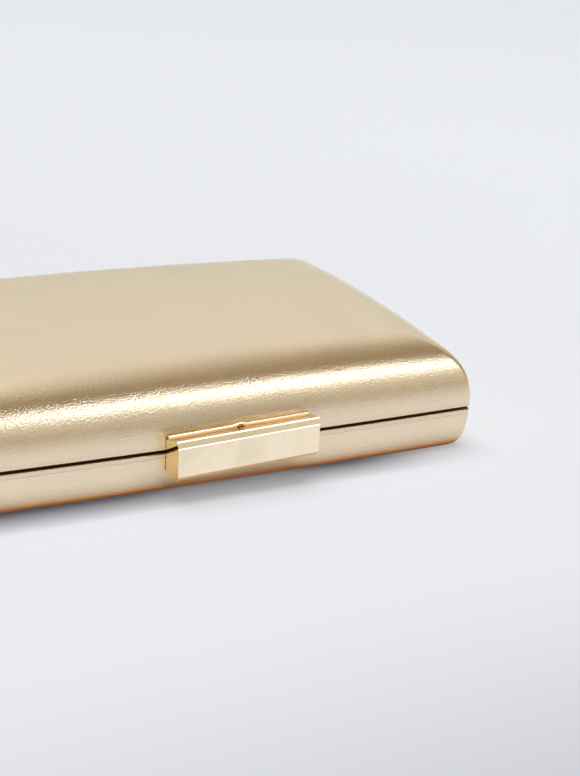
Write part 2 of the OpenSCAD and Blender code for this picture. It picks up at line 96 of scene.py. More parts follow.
# The catch's lip: half its length, the length that tapers at each end, and the half length and
# height of its rise over the nub
LIP_REACH, LIP_TAPER = 27.6 * MM, 0.4 * MM
RISE_REACH, RISE_HEIGHT = 4 * MM, 0.5 * MM

# The lip's profile: depth and height over the latch's rear edge, both in millimetres, and the
# shares of the rise that lift the point and draw it forward. Its roll follows the third point
LIP_PROFILE = (
    (0.35, 0.02, 0, 0),
    (-0.55, 0.02, 0, 0.36),
    (-0.38, 0.53, 1, 0),
    (-0.18, 0.91, 1, 0),
    (0.35, 0.95, 1, 0),
)
LIP_ROLL = 2

# Edges that turn further than this are rounded, and at this much the shading breaks
ROUNDED_FROM, CREASED_FROM = math.radians(28), math.radians(18)

# Widths of the rounded edges
FRAME_EDGE, LEAF_EDGE, PLATE_EDGE = 0.14 * MM, 0.09 * MM, 0.1 * MM
HINGE_RIVET_EDGE, LATCH_RIVET_EDGE = 0.2 * MM, 0.18 * MM

# The shadow round the clutch: half sizes of the plan rectangle that it is measured from, how far
# out it ends, and the width over which it fades
SHADOW_X, SHADOW_Y = 0.1, 0.0625
SHADOW_END, SHADOW_FADE = 0.0113, 0.0153

# The camera of the photograph, from the fit to its outlines: its yaw, pitch and roll in degrees,
# and how far ahead of it, to its left and above it the middle of the parting lies
CAMERA_TURN = (30.305, 22.238, 5.373)
CAMERA_AHEAD, CAMERA_LEFT, CAMERA_ABOVE = 0.550044, 0.047793, 0.004934


# Sizes and colours


def length_prop(name, description, size):
    """A length, given in millimetres."""
    return FloatProperty(name=name, description=description, default=size * MM, unit="LENGTH")


def colour_prop(name, description, *default):
    """A linear colour."""
    return FloatVectorProperty(
        name=name, description=description, default=default, subtype="COLOR"
    )


def number_prop(name, description, default):
    """A plain number."""
    return FloatProperty(name=name, description=description, default=default)


class ClutchForm(bpy.types.PropertyGroup):
    """Form of the two pillow-shaped halves."""

    end_bow: length_prop("End bow", "How far the ends bow out", 1.5)
    side_bow: length_prop("Side bow", "How far front and rear bow out", 1.2)
    corner: length_prop("Corner radius", "Plan radius at the rims", 2)
    corner_growth: FloatProperty(
        name="Corner growth",
        description="Share of the end rounding that the corner radius gains",
        default=0.1,
        subtype="FACTOR",
    )
    crown_length: length_prop("Crown along", "Rise of the lid along X", 1.8)
    crown_depth: length_prop("Crown across", "Rise of the lid along Y", 3.2)
    lid_end: length_prop("Lid end rounding", "Width at the ends", 30)
    lid_side: length_prop("Lid side rounding", "Width along front and rear", 21)
    lid_fullness: number_prop("Lid fullness", "2 is an ellipse, more is squarer", 2.5)
    lower_end: length_prop("Lower end rounding", "Width at the ends", 11)
    lower_side: length_prop("Lower side rounding", "Width along front and rear", 7.2)
    lower_fullness: number_prop("Lower fullness", "2 is an ellipse, more is squarer", 3.5)


class ClutchLayers(bpy.types.PropertyGroup):
    """Layers of a half, counted inwards from the outside of the leatherette."""

    cover: length_prop("Leatherette", "Thickness of the cover", 0.9)
    turned_edge: length_prop("Turned edge", "Width turned in", 3.4)
    fold: length_prop("Fold radius", "Radius at the rim", 0.55)
    foam_place: length_prop("Foam place", "How far in the foam lies", 1.0)
    foam: length_prop("Foam", "Thickness of the foam", 0.8)
    lining_place: length_prop("Lining place", "How far in it lies", 3.5)
    lining: length_prop("Lining", "Thickness of the lining", 0.7)
    lining_start: length_prop("Lining edge", "Its distance from the rim", 6.8)
    swell: length_prop("Swell", "Unevenness of the covers", 0.05)
    pucker: length_prop("Pucker", "Height of the corner puckers", 0.1)
    ridge: length_prop("Rim ridge", "Depth of the groove where the turned edge ends", 0.13)
    hem: length_prop("Hem", "Width of the pocket's folded hem", 5)
    sag: length_prop("Sag", "How far the pocket hangs loose", 1.1)
    stitch: length_prop("Stitch", "Length of one stitch", 2.3)
    seam: length_prop("Seam", "Distance of the seam from the pocket's border", 1.5)
    thread: length_prop("Thread", "Radius of the sewing thread", 0.2)
    bevel: length_prop("Bevel", "Lands along the catch's edges", 0.4)


class ClutchColours(bpy.types.PropertyGroup):
    """Colours of the finishes."""

    leather: colour_prop("Leatherette", "Gold foil of the covers", 0.72, 0.455, 0.20)
    # Painted shade in the grain's pits and in the groove above the rim, and the colour of real wear
    # on rubbed rims
    crease_shade_and_wear: colour_prop("Creases", "Foil in the pits of the grain", 0.54, 0.30, 0.11)
    # Painted reflection of the shadowed floor, on the edge that the clutch stands on
    leather_foot_reflection: colour_prop("Foot", "Edge that the clutch stands on", 0.86, 0.40, 0.12)
    # Painted shade on the edge turned in at the rim, which faces the gap at the parting
    tuck_gap_shade: colour_prop("Turned edge", "Edge turned in at the rim", 0.32, 0.14, 0.05)
    gold: colour_prop("Polished gold", "Plating of the latch and its plate", 0.80, 0.69, 0.515)
    # Painted reflection, amber, on the latch's ends
    gold_end_reflection: colour_prop("Latch ends", "Deeper gold on the latch's ends", 0.98, 0.76, 0.40)
    # Painted highlight, near white, on the roll of the catch's lip
    gold_roll_highlight: colour_prop("Catch lip", "Palest gold, on the roll of the catch", 1.0, 0.97, 0.90)
    # Painted reflection, amber as gold seen in gold, over the whole catch and over the lip's faces
    # but its roll
    gold_amber_reflection: colour_prop("Catch", "Amber gold of the catch", 0.74, 0.48, 0.19)
    # Painted reflection, a deeper gold, on the latch's top, underside and shade land
    gold_crest_reflection: colour_prop("Latch top", "Deepest gold, on its top and edges", 0.66, 0.44, 0.20)
    frame: colour_prop("Rim frames", "Plating of the rim frames", 0.80, 0.57, 0.31)
    brass: colour_prop("Brass", "Pins and rivets", 0.74, 0.52, 0.26)
    steel: colour_prop("Steel", "Leaf spring", 0.50, 0.50, 0.52)
    satin: colour_prop("Satin", "Lining", 0.62, 0.50, 0.33)
    pocket: colour_prop("Pocket", "Slip pocket", 0.57, 0.45, 0.29)
    foam: colour_prop("Foam", "Foam sheets", 0.72, 0.69, 0.62)
    plastic: colour_prop("Plastic", "Moulded shells", 0.045, 0.042, 0.04)
    floor: colour_prop("Floor", "Pale studio floor", 0.855, 0.865, 0.885)


class ClutchStudio(bpy.types.PropertyGroup):
    """Camera and lamps."""

    lens: number_prop("Lens", "In millimetres", 66.06)
    key: number_prop("Key lamp", "Softbox at the front right", 4.4)
    top: number_prop("Top lamp", "Large softbox overhead", 375.0)
    room: number_prop("Room", "Brightness of the pale room", 1.0)
    floor_reach: FloatProperty(
        name="Floor reach", description="Half the floor's width", default=8.0, unit="LENGTH"
    )
    seed: IntProperty(name="Seed", description="Seed of the covers' uneven swell", default=7)


GROUPS = {
    "clutch_form": ClutchForm,
    "clutch_layers": ClutchLayers,
    "clutch_colours": ClutchColours,
    "clutch_studio": ClutchStudio,
}


# Surfaces


class Ring:
    """A plan rectangle with rounded corners, as shares that fit any size.

    Each point is (half size - radius) times its core place plus radius times its heading, and
    the points run counter-clockwise from the +X side. turned is the angle round a corner, and
    bend is 1 in the corner's middle and 0 on the straight sides.
    """

    def __init__(self, corner, long, short):
        core, heading = [], []
        middles = [(1, 1), (-1, 1), (-1, -1), (1, -1)]
        for quarter, middle in enumerate(middles):
            following = middles[(quarter + 1) % 4]
            turn = np.radians(90 * (quarter + np.arange(corner + 1) / corner))
            heading.append(np.stack([np.cos(turn), np.sin(turn)], 1))
            core.append(np.tile(np.array(middle, float), (corner + 1, 1)))
            steps = long if quarter % 2 == 0 else short
            share = (np.arange(1, steps) / steps)[:, None]
            core.append(np.array(middle) * (1 - share) + np.array(following) * share)
            heading.append(np.tile(heading[-1][-1], (steps - 1, 1)))
        self.core = np.concatenate(core)
        self.heading = np.concatenate(heading)
        self.count = len(self.core)
        turned = np.degrees(np.arctan2(self.heading[:, 1], self.heading[:, 0])) % 90
        self.turned = np.radians(turned)
        self.bend = np.sin(np.radians(turned * 2)) ** 2

    def points(self, half_x, half_y, radius):
        """Plan points for arrays of half sizes and radii, one row each."""
        half = np.stack([half_x - radius, half_y - radius], -1)[:, None, :]
        return half * self.core + np.asarray(radius)[:, None, None] * self.heading

    def fans(self, count, start):
        """Waves round each corner, from -1 to 1, that fade out towards the straight sides."""
        return np.sin(self.turned * count + start) * self.bend


class Half:
    """One pillow-shaped half, made rim down with its rim at height 0."""

    def __init__(self, form, lid):
        box = LID_BOX if lid else LOWER_BOX
        self.lid = lid
        self.form = form
        self.length = (LID_BOX[1].x - LID_BOX[0].x) / 2 - form.end_bow
        self.depth = (LID_BOX[1].y - LID_BOX[0].y) / 2 - form.side_bow
        self.crown = (form.crown_length, form.crown_depth) if lid else (0.0, 0.0)
        self.height = box[1].z - box[0].z - sum(self.crown)
        self.end = form.lid_end if lid else form.lower_end
        self.side = form.lid_side if lid else form.lower_side
        self.fullness = form.lid_fullness if lid else form.lower_fullness

    def bowed(self, plan):
        """Plan points pushed out by the bows, which fade towards the middle and the corners."""
        u, v = plan[..., 0] / self.length, plan[..., 1] / self.depth
        out = plan.copy()
        out[..., 0] += np.sign(u) * self.form.end_bow * (1 - v * v) * u**4
        out[..., 1] += np.sign(v) * self.form.side_bow * (1 - u * u) * v**4
        return out

    def rise(self, plan):
        """Rise of the crown: a parabola along X plus one along Y."""
        u, v = plan[..., 0] / self.length, plan[..., 1] / self.depth
        return self.crown[0] * (1 - u * u) + self.crown[1] * (1 - v * v)

    def rows(self, ring, offset, edge, level, spread):
        """Rows of the surface that lies an offset in from the outside.

        The rounding is a superellipse: edge is the used share of its width and level the share
        of the height. Spread below 1 draws the top row in over the crown.
        """
        edge, level, spread = (np.asarray(a, float) for a in (edge, level, spread))
        half_x = (self.length - offset - (self.end - offset) * edge) * spread
        half_y = (self.depth - offset - (self.side - offset) * edge) * spread
        grown = self.form.corner + self.form.corner_growth * self.end * edge - offset
        plan = self.bowed(ring.points(half_x, half_y, np.maximum(grown, SMALLEST_CORNER) * spread))
        level = level[:, None]
        height = (self.height - offset) * level + level * level * self.rise(plan)
        return np.concatenate([plan, height[..., None]], -1)

    def upright(self, ring, insets, heights):
        """Rows at given insets from the rim's outside and given heights."""
        insets = np.asarray(insets, float)
        radius = np.maximum(self.form.corner - insets, SMALLEST_CORNER)
        plan = self.bowed(ring.points(self.length - insets, self.depth - insets, radius))
        heights = np.broadcast_to(np.asarray(heights, float)[:, None, None], plan[..., :1].shape)
        return np.concatenate([plan, heights], -1)

    def rounding(self, offset, start, count):
        """Edge and level shares from a start height up to the shoulder, evenly along the curve."""
        first = math.asin((start / (self.height - offset)) ** (self.fullness / 2))
        turn = np.linspace(first, math.pi / 2, 4000)
        level = np.sin(turn) ** (2 / self.fullness)
        edge = 1 - np.maximum(np.cos(turn), 0) ** (2 / self.fullness)
        width = (self.end + self.side) / 2 - offset
        step = np.hypot(np.diff(edge) * width, np.diff(level) * (self.height - offset))
        along = np.concatenate([[0], np.cumsum(step)])
        wanted = np.linspace(0, along[-1], count)
        return np.interp(wanted, along, edge), np.interp(wanted, along, level)

    def surface(self, ring, offset, start, rounding_rows, crown_rows):
        """Rows from next to the crown's middle out to the shoulder and down to a start height."""
        edge, level = self.rounding(offset, start, rounding_rows)
        spread = np.linspace(0, 1, crown_rows + 1)[1:-1]
        flat = np.ones(len(spread))
        crown = self.rows(ring, offset, flat, flat, spread)
        side = self.rows(ring, offset, edge[::-1], level[::-1], np.ones(rounding_rows))
        return np.concatenate([crown, side])

    def middle(self, offset):
        return np.array([0, 0, self.height - offset + sum(self.crown)])

    def placed(self, points):
        """Puts rim-down points on the case: the lid as it is, the lower half upside down."""
        out = points.copy()
        out[..., 2] = LID_RIM + out[..., 2] if self.lid else LOWER_RIM - out[..., 2]
        return out


def row_normals(rows):
    """Unit normals of a closed grid of rows, outwards for rows that run from the crown down."""
    down = np.gradient(rows, axis=0)
    round_ = (np.roll(rows, -1, 1) - np.roll(rows, 1, 1)) / 2
    normal = np.cross(down, round_)
    return normal / np.maximum(np.linalg.norm(normal, axis=-1, keepdims=True), 1e-12)


def bell(values, middle, width):
    """A bell curve: 1 at the middle, and 1/e at the width from it."""
    return np.exp(-(((values - middle) / width) ** 2))


def swell(points, seed):
    """Smooth unevenness from -1 to 1: twelve sine waves in seeded directions, 14 to 60 mm long."""
    draw = np.random.default_rng(seed)
    total = np.zeros(points.shape[:-1])
    for _ in range(12):
        heading = draw.normal(size=3) * (1, 1.7, 1.4)
        wave = draw.uniform(14, 60) * MM
        phase = points @ (heading / np.linalg.norm(heading)) * (2 * math.pi / wave)
        total += np.sin(phase + draw.uniform(0, 2 * math.pi))
    return total / 6


def skin_faces(rows, count):
    """Quads between rows and a fan at each end. Vertex 0 is the first pole, the last one closes."""
    index = 1 + np.arange(rows * count).reshape(rows, count)
    here, there = index[:-1], index[1:]
    quads = np.stack([here, np.roll(here, -1, 1), np.roll(there, -1, 1), there], -1)
    first, last = index[0], index[-1]
    pole = np.zeros(count, int)
    head = np.stack([pole, np.roll(first, -1), first], -1)
    tail = np.stack([last, np.roll(last, -1), pole + rows * count + 1], -1)
    return quads.reshape(-1, 4), np.concatenate([head, tail])


def signed_volume(points, triangles):
    a, b, c = (points[triangles[:, k]] for k in range(3))
    return np.einsum("ij,ij->i", a, np.cross(b, c)).sum() / 6


def add_object(name, data):
    made = bpy.data.objects.new(name, data)
    bpy.context.scene.collection.objects.link(made)
    return made


def new_piece(name, points, quads=(), triangles=(), layout=None, values=None, smooth=True):
    """A mesh object from arrays, turned so that its faces point outwards.

    layout holds one UV place per vertex and values holds named numbers per vertex.
    """
    quads = np.asarray(quads, int).reshape(-1, 4)
    triangles = np.asarray(triangles, int).reshape(-1, 3)
    halves = np.concatenate([triangles, quads[:, :3], quads[:, [0, 2, 3]]])
    if signed_volume(points, halves) < 0:
        quads, triangles = quads[:, ::-1], triangles[:, ::-1]
    mesh = bpy.data.meshes.new(name)
    mesh.vertices.add(len(points))
    mesh.vertices.foreach_set("co", points.astype(np.float32).ravel())
    corners = np.concatenate([quads.ravel(), triangles.ravel()]).astype(np.int32)
    totals = np.concatenate([np.full(len(quads), 4), np.full(len(triangles), 3)])
    mesh.loops.add(len(corners))
    mesh.loops.foreach_set("vertex_index", corners)
    mesh.polygons.add(len(totals))
    starts = np.concatenate([[0], np.cumsum(totals)[:-1]]).astype(np.int32)
    mesh.polygons.foreach_set("loop_start", starts)
    mesh.polygons.foreach_set("use_smooth", np.full(len(totals), smooth))
    mesh.update(calc_edges=True)
    if layout is not None:
        mesh.uv_layers.new(name="Layout")
        mesh.uv_layers[0].uv.foreach_set("vector", layout[corners].astype(np.float32).ravel())
    for key, numbers in (values or {}).items():
        mesh.attributes.new(key, "FLOAT", "POINT").data.foreach_set(
            "value", numbers.astype(np.float32)
        )
    if mesh.validate():
        raise RuntimeError(f"{name} has faces that don't fit together")
    return add_object(name, mesh)


def unrolled(rows, shoulder):
    """Flat layout of a half's surface, in metres: plan places on the crown, and past the
    shoulder row each column runs straight out by its length along the surface."""
    flat = rows[..., :2].copy()
    step = np.linalg.norm(np.diff(rows[shoulder:], axis=0), axis=-1)
    along = np.concatenate([np.zeros((1, rows.shape[1])), np.cumsum(step, 0)])[..., None]
    flat[shoulder:] = flat[shoulder] + RINGS["fine"].heading * along
    return flat


def closed_skin(name, half, ring, rows, offsets, flat=None, values=None):
    """A piece from rows that run from the crown's middle at one offset to that at the other."""
    first, last = (half.middle(offset) for offset in offsets)
    points = np.concatenate([[first], rows.reshape(-1, 3), [last]])
    layout = None if flat is None else np.concatenate([[(0, 0)], flat.reshape(-1, 2), [(0, 0)]])
    quads, fans = skin_faces(len(rows), ring.count)
    return new_piece(name, half.placed(points), quads, fans, layout, values)


def dressed(made, material, body, slot, *replaced):
    """Gives a new piece its finish and its body, and hides the nodes it stands for. The slot is not
    used.
    """
    made.data.materials.clear()
    made.data.materials.append(material)
    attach(made, body)
    if replaced:
        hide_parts(*replaced)
    return made


RINGS = {"fine": Ring(10, 96, 62), "plain": Ring(6, 40, 28)}


def cover_piece(name, form, layers, lid, seed):
    """Leatherette of one half: its outside, the fold round the rim, the edge turned in under
    padding and shell, and the inside.

    Three things are laid over the smooth form, along its normals: a slow swell, a groove a
    little above the rim where the turned edge ends, and puckers that fan out round each corner
    and fade with the distance from the rim.
    """
    half, ring = Half(form, lid), RINGS["fine"]
    fold, tip, crown_rows = layers.fold, layers.cover / 2, 34
    outer = half.surface(ring, 0, fold, rounding_rows=74, crown_rows=crown_rows)
    turn = np.radians(np.linspace(0, 90, 6)[1:])
    wrap = half.upright(ring, fold * (1 - np.cos(turn)), fold * (1 - np.sin(turn)))
    width = np.linspace(fold, layers.turned_edge - tip, 7)[1:]
    under = half.upright(ring, width, np.zeros(6))
    round_ = np.radians(np.linspace(-90, 90, 5)[1:])
    edge = half.upright(ring, width[-1] + tip * np.cos(round_), tip + tip * np.sin(round_))
    shown = np.concatenate([outer, wrap, under, edge])
    inside = half.surface(ring, layers.cover, layers.cover, rounding_rows=14, crown_rows=8)[::-1]

    height, past_rim = shown[..., 2], np.arange(len(shown))[:, None] - len(outer)
    outside = past_rim < 0
    from_foot = np.full(height.shape, 1.0) if lid else half.height - height
    groove = bell(height, 1.5 * MM, 0.28 * MM) * outside
    lift = layers.swell * swell(shown, seed) * np.clip(height / (6 * MM), 0, 1)
    lift *= np.clip(from_foot / (1 * MM), 0, 1)
    lift -= layers.ridge * (0.5 if lid else 1.0) * groove
    near_corner = np.abs(ring.core).min(1) > 0.97
    low = np.exp(-height / (2.2 * MM)) * (height < 12 * MM)
    lift += layers.pucker * ring.fans(14, seed) * near_corner * low
    shown = shown + row_normals(shown) * lift[..., None]

    # The foot's band, which gets a painted reflection of the shadowed floor
    foot = 1 - np.clip((from_foot - 1.8 * MM) / (3.8 * MM), 0, 1)
    # Masks of the finish. The first is real wear on the rubbed rim, strongest at the corners, plus
    # painted shade in the groove above it
    masks = {
        "rim_wear_and_groove_shade": bell(height, 0.3 * MM, 0.9 * MM) * (0.55 + 0.45 * ring.bend) + 0.5 * groove,
        # The turned edge, painted dark as shade in the gap at the parting
        "tuck": np.broadcast_to(np.clip(past_rim / 3, 0, 1), height.shape),
        # Painted reflection of the shadowed floor on the foot
        "foot": foot * foot * (3 - 2 * foot) * outside,
    }
    unseen = np.zeros(inside[..., 0].size)
    values = {key: np.concatenate([[0], mask.ravel(), unseen, [0]]) for key, mask in masks.items()}
    values["foot"][0] = 0 if lid else 1
    rows = np.concatenate([shown, inside])
    flat = unrolled(rows, crown_rows - 1)
    return closed_skin(name, half, ring, rows, (0, layers.cover), flat, values), half


def foam_piece(name, form, layers, lid):
    """Foam sheet: the closed space between two surfaces of a half, open at the rim side."""
    half, ring = Half(form, lid), RINGS["plain"]
    place, back = layers.foam_place, layers.foam_place + layers.foam
    rows = {"rounding_rows": 26, "crown_rows": 8}
    outer = half.surface(ring, place, place, **rows)
    inner = half.surface(ring, back, place, **rows)[::-1]
    return closed_skin(name, half, ring, np.concatenate([outer, inner]), (place, back))


def lining_piece(name, form, layers, lid, seed):
    """Fabric lining: its back, a rolled edge along the frame, and the side that shows.

    The rolled edge is a half circle from back to front. The front bulges over its first 2.5 mm,
    and is lifted by a slow swell and by gathers that fan out round the corners.
    """
    half, ring = Half(form, lid), RINGS["fine"]
    place, wall, start = layers.lining_place, layers.lining, layers.lining_start
    crown_rows, from_rim = 26, start + wall / 2
    back = half.surface(ring, place, from_rim, rounding_rows=20, crown_rows=8)
    front = half.surface(ring, place + wall, from_rim, rounding_rows=64, crown_rows=crown_rows)
    front = front[::-1]
    out_, in_ = back[-1], front[0]
    turn = np.radians(np.linspace(0, 180, 8)[1:-1])[:, None, None]
    roll = (out_ + in_) / 2 + (out_ - in_) / 2 * np.cos(turn)
    roll[..., 2] -= wall / 2 * np.sin(turn[..., 0])
    height = front[..., 2] - start
    lift = 0.32 * MM * bell(height, 1.2 * MM, 0.9 * MM) + 0.05 * MM * swell(front, seed)
    lift += 0.16 * MM * ring.fans(16, seed) * np.exp(-height / (5 * MM))
    front = front - row_normals(front[::-1])[::-1] * lift[..., None]
    rows = np.concatenate([back, roll, front])
    flat = rows[..., :2].copy()
    flat[-len(front) :] = unrolled(front[::-1], crown_rows - 1)[::-1]
    return closed_skin(name, half, ring, rows, (place, place + wall), flat), half


def panel_middle(layers, x, y):
    """Height of the pocket panel's middle over plan places: the CAD panel's curve, sagging
    towards its open front edge, where it also ripples."""
    half = Half(bpy.context.scene.clutch_form, True)
    top = POCKET_HIGH.z - half.rise(np.zeros(2))
    u, v = x / POCKET_X, y / POCKET_Y
    front = np.clip((1 - v) / 2, 0, 1)
    ripple = 0.12 * MM * np.sin(u * 9) * front * (1 - u**4)
    sag = layers.sag * (1 - u * u) * front**1.5
    return top + half.rise(np.stack([x, y], -1)) - layers.lining / 2 - sag + ripple


def pocket_panel(layers):
    """Slip pocket: a panel that follows the lid, open at the front, with a folded hem there.

    Two sheets run a half thickness above and below the panel's middle. The thickness falls to
    nothing at the border on a quarter circle, grows by nearly a half over the hem, and dips
    along the seams.
    """
    columns, rows = 150, 84
    even = [np.linspace(-1, 1, count) for count in (columns, rows)]
    u, v = (0.35 * np.sin(share * math.pi / 2) + 0.65 * share for share in even)
    x, y = np.meshgrid(u * POCKET_X, v * POCKET_Y)
    border = np.minimum(POCKET_X - np.abs(x), POCKET_Y - np.abs(y))
    round_ = np.clip(border / (0.45 * MM), 0, 1)
    full = 0.33 * MM * np.sqrt(1 - (1 - round_) ** 2)
    from_front = y + POCKET_Y
    full *= 1 + 0.45 / (1 + np.exp((from_front - layers.hem) / (0.25 * MM)))
    seam = bell(border, layers.seam, 0.5 * MM) * (from_front > layers.hem)
    hem_seam = bell(from_front, layers.hem - HEM_SEAM, 0.4 * MM)
    full *= 1 - 0.3 * np.maximum(seam, hem_seam)
    middle = panel_middle(layers, x, y)
    sheets = [np.stack([x, y, middle + side * full], -1).reshape(-1, 3) for side in (1, -1)]
    count = rows * columns
    index = np.arange(count).reshape(rows, columns)
    upper = np.stack([index[:-1, :-1], index[:-1, 1:], index[1:, 1:], index[1:, :-1]], -1)
    upper = upper.reshape(-1, 4)
    rim = np.concatenate([index[0], index[1:, -1], index[-1, -2::-1], index[-2:0:-1, 0]])
    after = np.roll(rim, -1)
    sides = np.stack([rim, rim + count, after + count, after], -1)
    quads = np.concatenate([upper, upper[:, ::-1] + count, sides])
    layout = np.tile(np.stack([x, y], -1).reshape(-1, 2), (2, 1))
    return new_piece("pocket_panel", np.concatenate(sheets), quads, layout=layout)


def thread_run(name, places, headings, uprights, length, radius):
    """A run of stitches: each is a capsule along its heading, sunk at both ends.

    A capsule is a grid of 8 round by 7 along, its radius a root of 1 - s^4 and its line bent
    down by the square of s, for s from -1 to 1.
    """
    round_, s = 8, np.linspace(-1, 1, 7)[1:-1]
    turn = np.arange(round_) * 2 * math.pi / round_
    across = np.cross(uprights, headings)
    swing = radius * np.sqrt(1 - s**4)
    line = (
        places[:, None, :]
        + headings[:, None, :] * (s * length / 2)[None, :, None]
        - uprights[:, None, :] * (0.8 * radius * s * s)[None, :, None]
    )
    rings = (
        line[:, :, None, :]
        + across[:, None, None, :] * (swing[:, None] * np.cos(turn))[None, :, :, None]
        + uprights[:, None, None, :] * (swing[:, None] * np.sin(turn))[None, :, :, None]
    )
    ends = [
        places + sign * headings * length / 2 - uprights * radius * 0.9 for sign in (-1, 1)
    ]
    each = len(s) * round_ + 2
    points = np.concatenate(
        [ends[0][:, None, :], rings.reshape(len(places), -1, 3), ends[1][:, None, :]], 1
    )
    quads, fans = skin_faces(len(s), round_)
    shift = (np.arange(len(places)) * each)[:, None, None]
    return new_piece(
        name, points.reshape(-1, 3), (quads + shift).reshape(-1, 4), (fans + shift).reshape(-1, 3)
    )


def pocket_stitches(layers):
    """Stitches along the pocket's three sewn sides and its hem, on the side of the panel that
    shows when the lid is open."""
    pitch = layers.stitch * 1.35
    side, back, front = POCKET_X - layers.seam, POCKET_Y - layers.seam, 2 * MM - POCKET_Y
    hem_end, hem = side - layers.seam, layers.hem - HEM_SEAM - POCKET_Y
    runs = (
        ((-side, front), (-side, back)),
        ((-side, back), (side, back)),
        ((side, back), (side, front)),
        ((hem_end, hem), (-hem_end, hem)),
    )
    plan, ways = [], []
    for start, end in runs:
        start, end = np.array(start), np.array(end)
        reach = np.linalg.norm(end - start)
        count = int(reach / pitch)
        share = (np.arange(count) + 0.5) / count
        plan.append(start + (end - start) * share[:, None])
        ways.append(np.tile((end - start) / reach, (count, 1)))
    plan, ways = np.concatenate(plan), np.concatenate(ways)
    step = layers.stitch / 2
    before, after = plan - ways * step, plan + ways * step
    z = [panel_middle(layers, p[:, 0], p[:, 1]) for p in (before, plan, after)]
    headings = np.concatenate([after - before, (z[2] - z[0])[:, None]], 1)
    headings /= np.linalg.norm(headings, axis=1, keepdims=True)
    down = np.tile([0.0, 0.0, -1.0], (len(plan), 1))
    down -= headings * np.einsum("ij,ij->i", down, headings)[:, None]
    down /= np.linalg.norm(down, axis=1, keepdims=True)
    places = np.concatenate([plan, (z[1] - 0.27 * MM)[:, None]], 1) + down * layers.thread * 0.4
    return thread_run("pocket_stitches", places, headings, down, layers.stitch, layers.thread)


def merged(node):
    """A bmesh of a CAD node: its loose triangles merged and its flat faces joined."""
    work = bmesh.new()
    work.from_mesh(NODES[node].data)
    bmesh.ops.remove_doubles(work, verts=work.verts, dist=2e-6)
    bmesh.ops.dissolve_limit(
        work, angle_limit=math.radians(0.6), verts=work.verts, edges=work.edges
    )
    return work


def rigid_piece(name, work, smooth=True):
    mesh = bpy.data.meshes.new(name)
    work.to_mesh(mesh)
    work.free()
    mesh.polygons.foreach_set("use_smooth", np.full(len(mesh.polygons), smooth))
    return add_object(name, mesh)


def leaned(x, depth, height):
    """Places from the latch's own frame: it leans, and lies on the front at the parting."""
    x, depth, height = np.broadcast_arrays(x, depth, height)
    level, steep = math.cos(LATCH_LEAN), math.sin(LATCH_LEAN)
    places = np.stack([x * level - height * steep, depth, x * steep + height * level], -1)
    return places + np.array(LATCH_PLACE)


def marked_faces(mesh, key, marked):
    """Marks faces, for finishes that paint a deeper tint there as a reflection."""
    mesh.attributes.new(key, "FLOAT", "FACE").data.foreach_set("value", marked.astype(np.float32))


def catch_lip():
    """Rolled lip of the catch, along the top of the closed latch bar.

    A profile of depth and height is carried along the bar. A squared cosine lifts all but its
    foot over the nub, and draws the foot's front forward there.
    """
    x = np.linspace(-LIP_REACH, LIP_REACH, 139)
    rise = (np.cos(np.clip(x / RISE_REACH, -1, 1) * math.pi / 2) ** 2 * RISE_HEIGHT)[:, None]
    depth, height, lifted, forward = np.array(LIP_PROFILE).T
    taper = np.clip((LIP_REACH - np.abs(x)) / LIP_TAPER, 0.3, 1)[:, None]
    height = LATCH_BACK + height * MM * taper + rise * lifted
    rows = leaned(x[:, None], depth * MM - rise * forward, height)
    count = rows.shape[1]
    index = np.arange(rows.shape[0] * count).reshape(-1, count)
    quads = np.stack(
        [index[:-1], np.roll(index[:-1], -1, 1), np.roll(index[1:], -1, 1), index[1:]], -1
    )
    # All faces but the roll, which get a painted amber reflection
    dull = np.tile(np.arange(count) != LIP_ROLL, len(quads))
    caps, ends = (
        np.concatenate([index[:1, corners][:, ::-1], index[-1:, corners]])
        for corners in ([1, 2, 3, 4], [0, 1, 4])
    )
    quads = np.concatenate([quads.reshape(-1, 4), caps])
    made = new_piece("catch_lip", rows.reshape(-1, 3), quads, ends)
    made.data.set_sharp_from_angle(angle=CREASED_FROM)
    marked_faces(made.data, "crest_reflection", np.concatenate([dull, np.ones(len(caps) + len(ends))]))
    return made


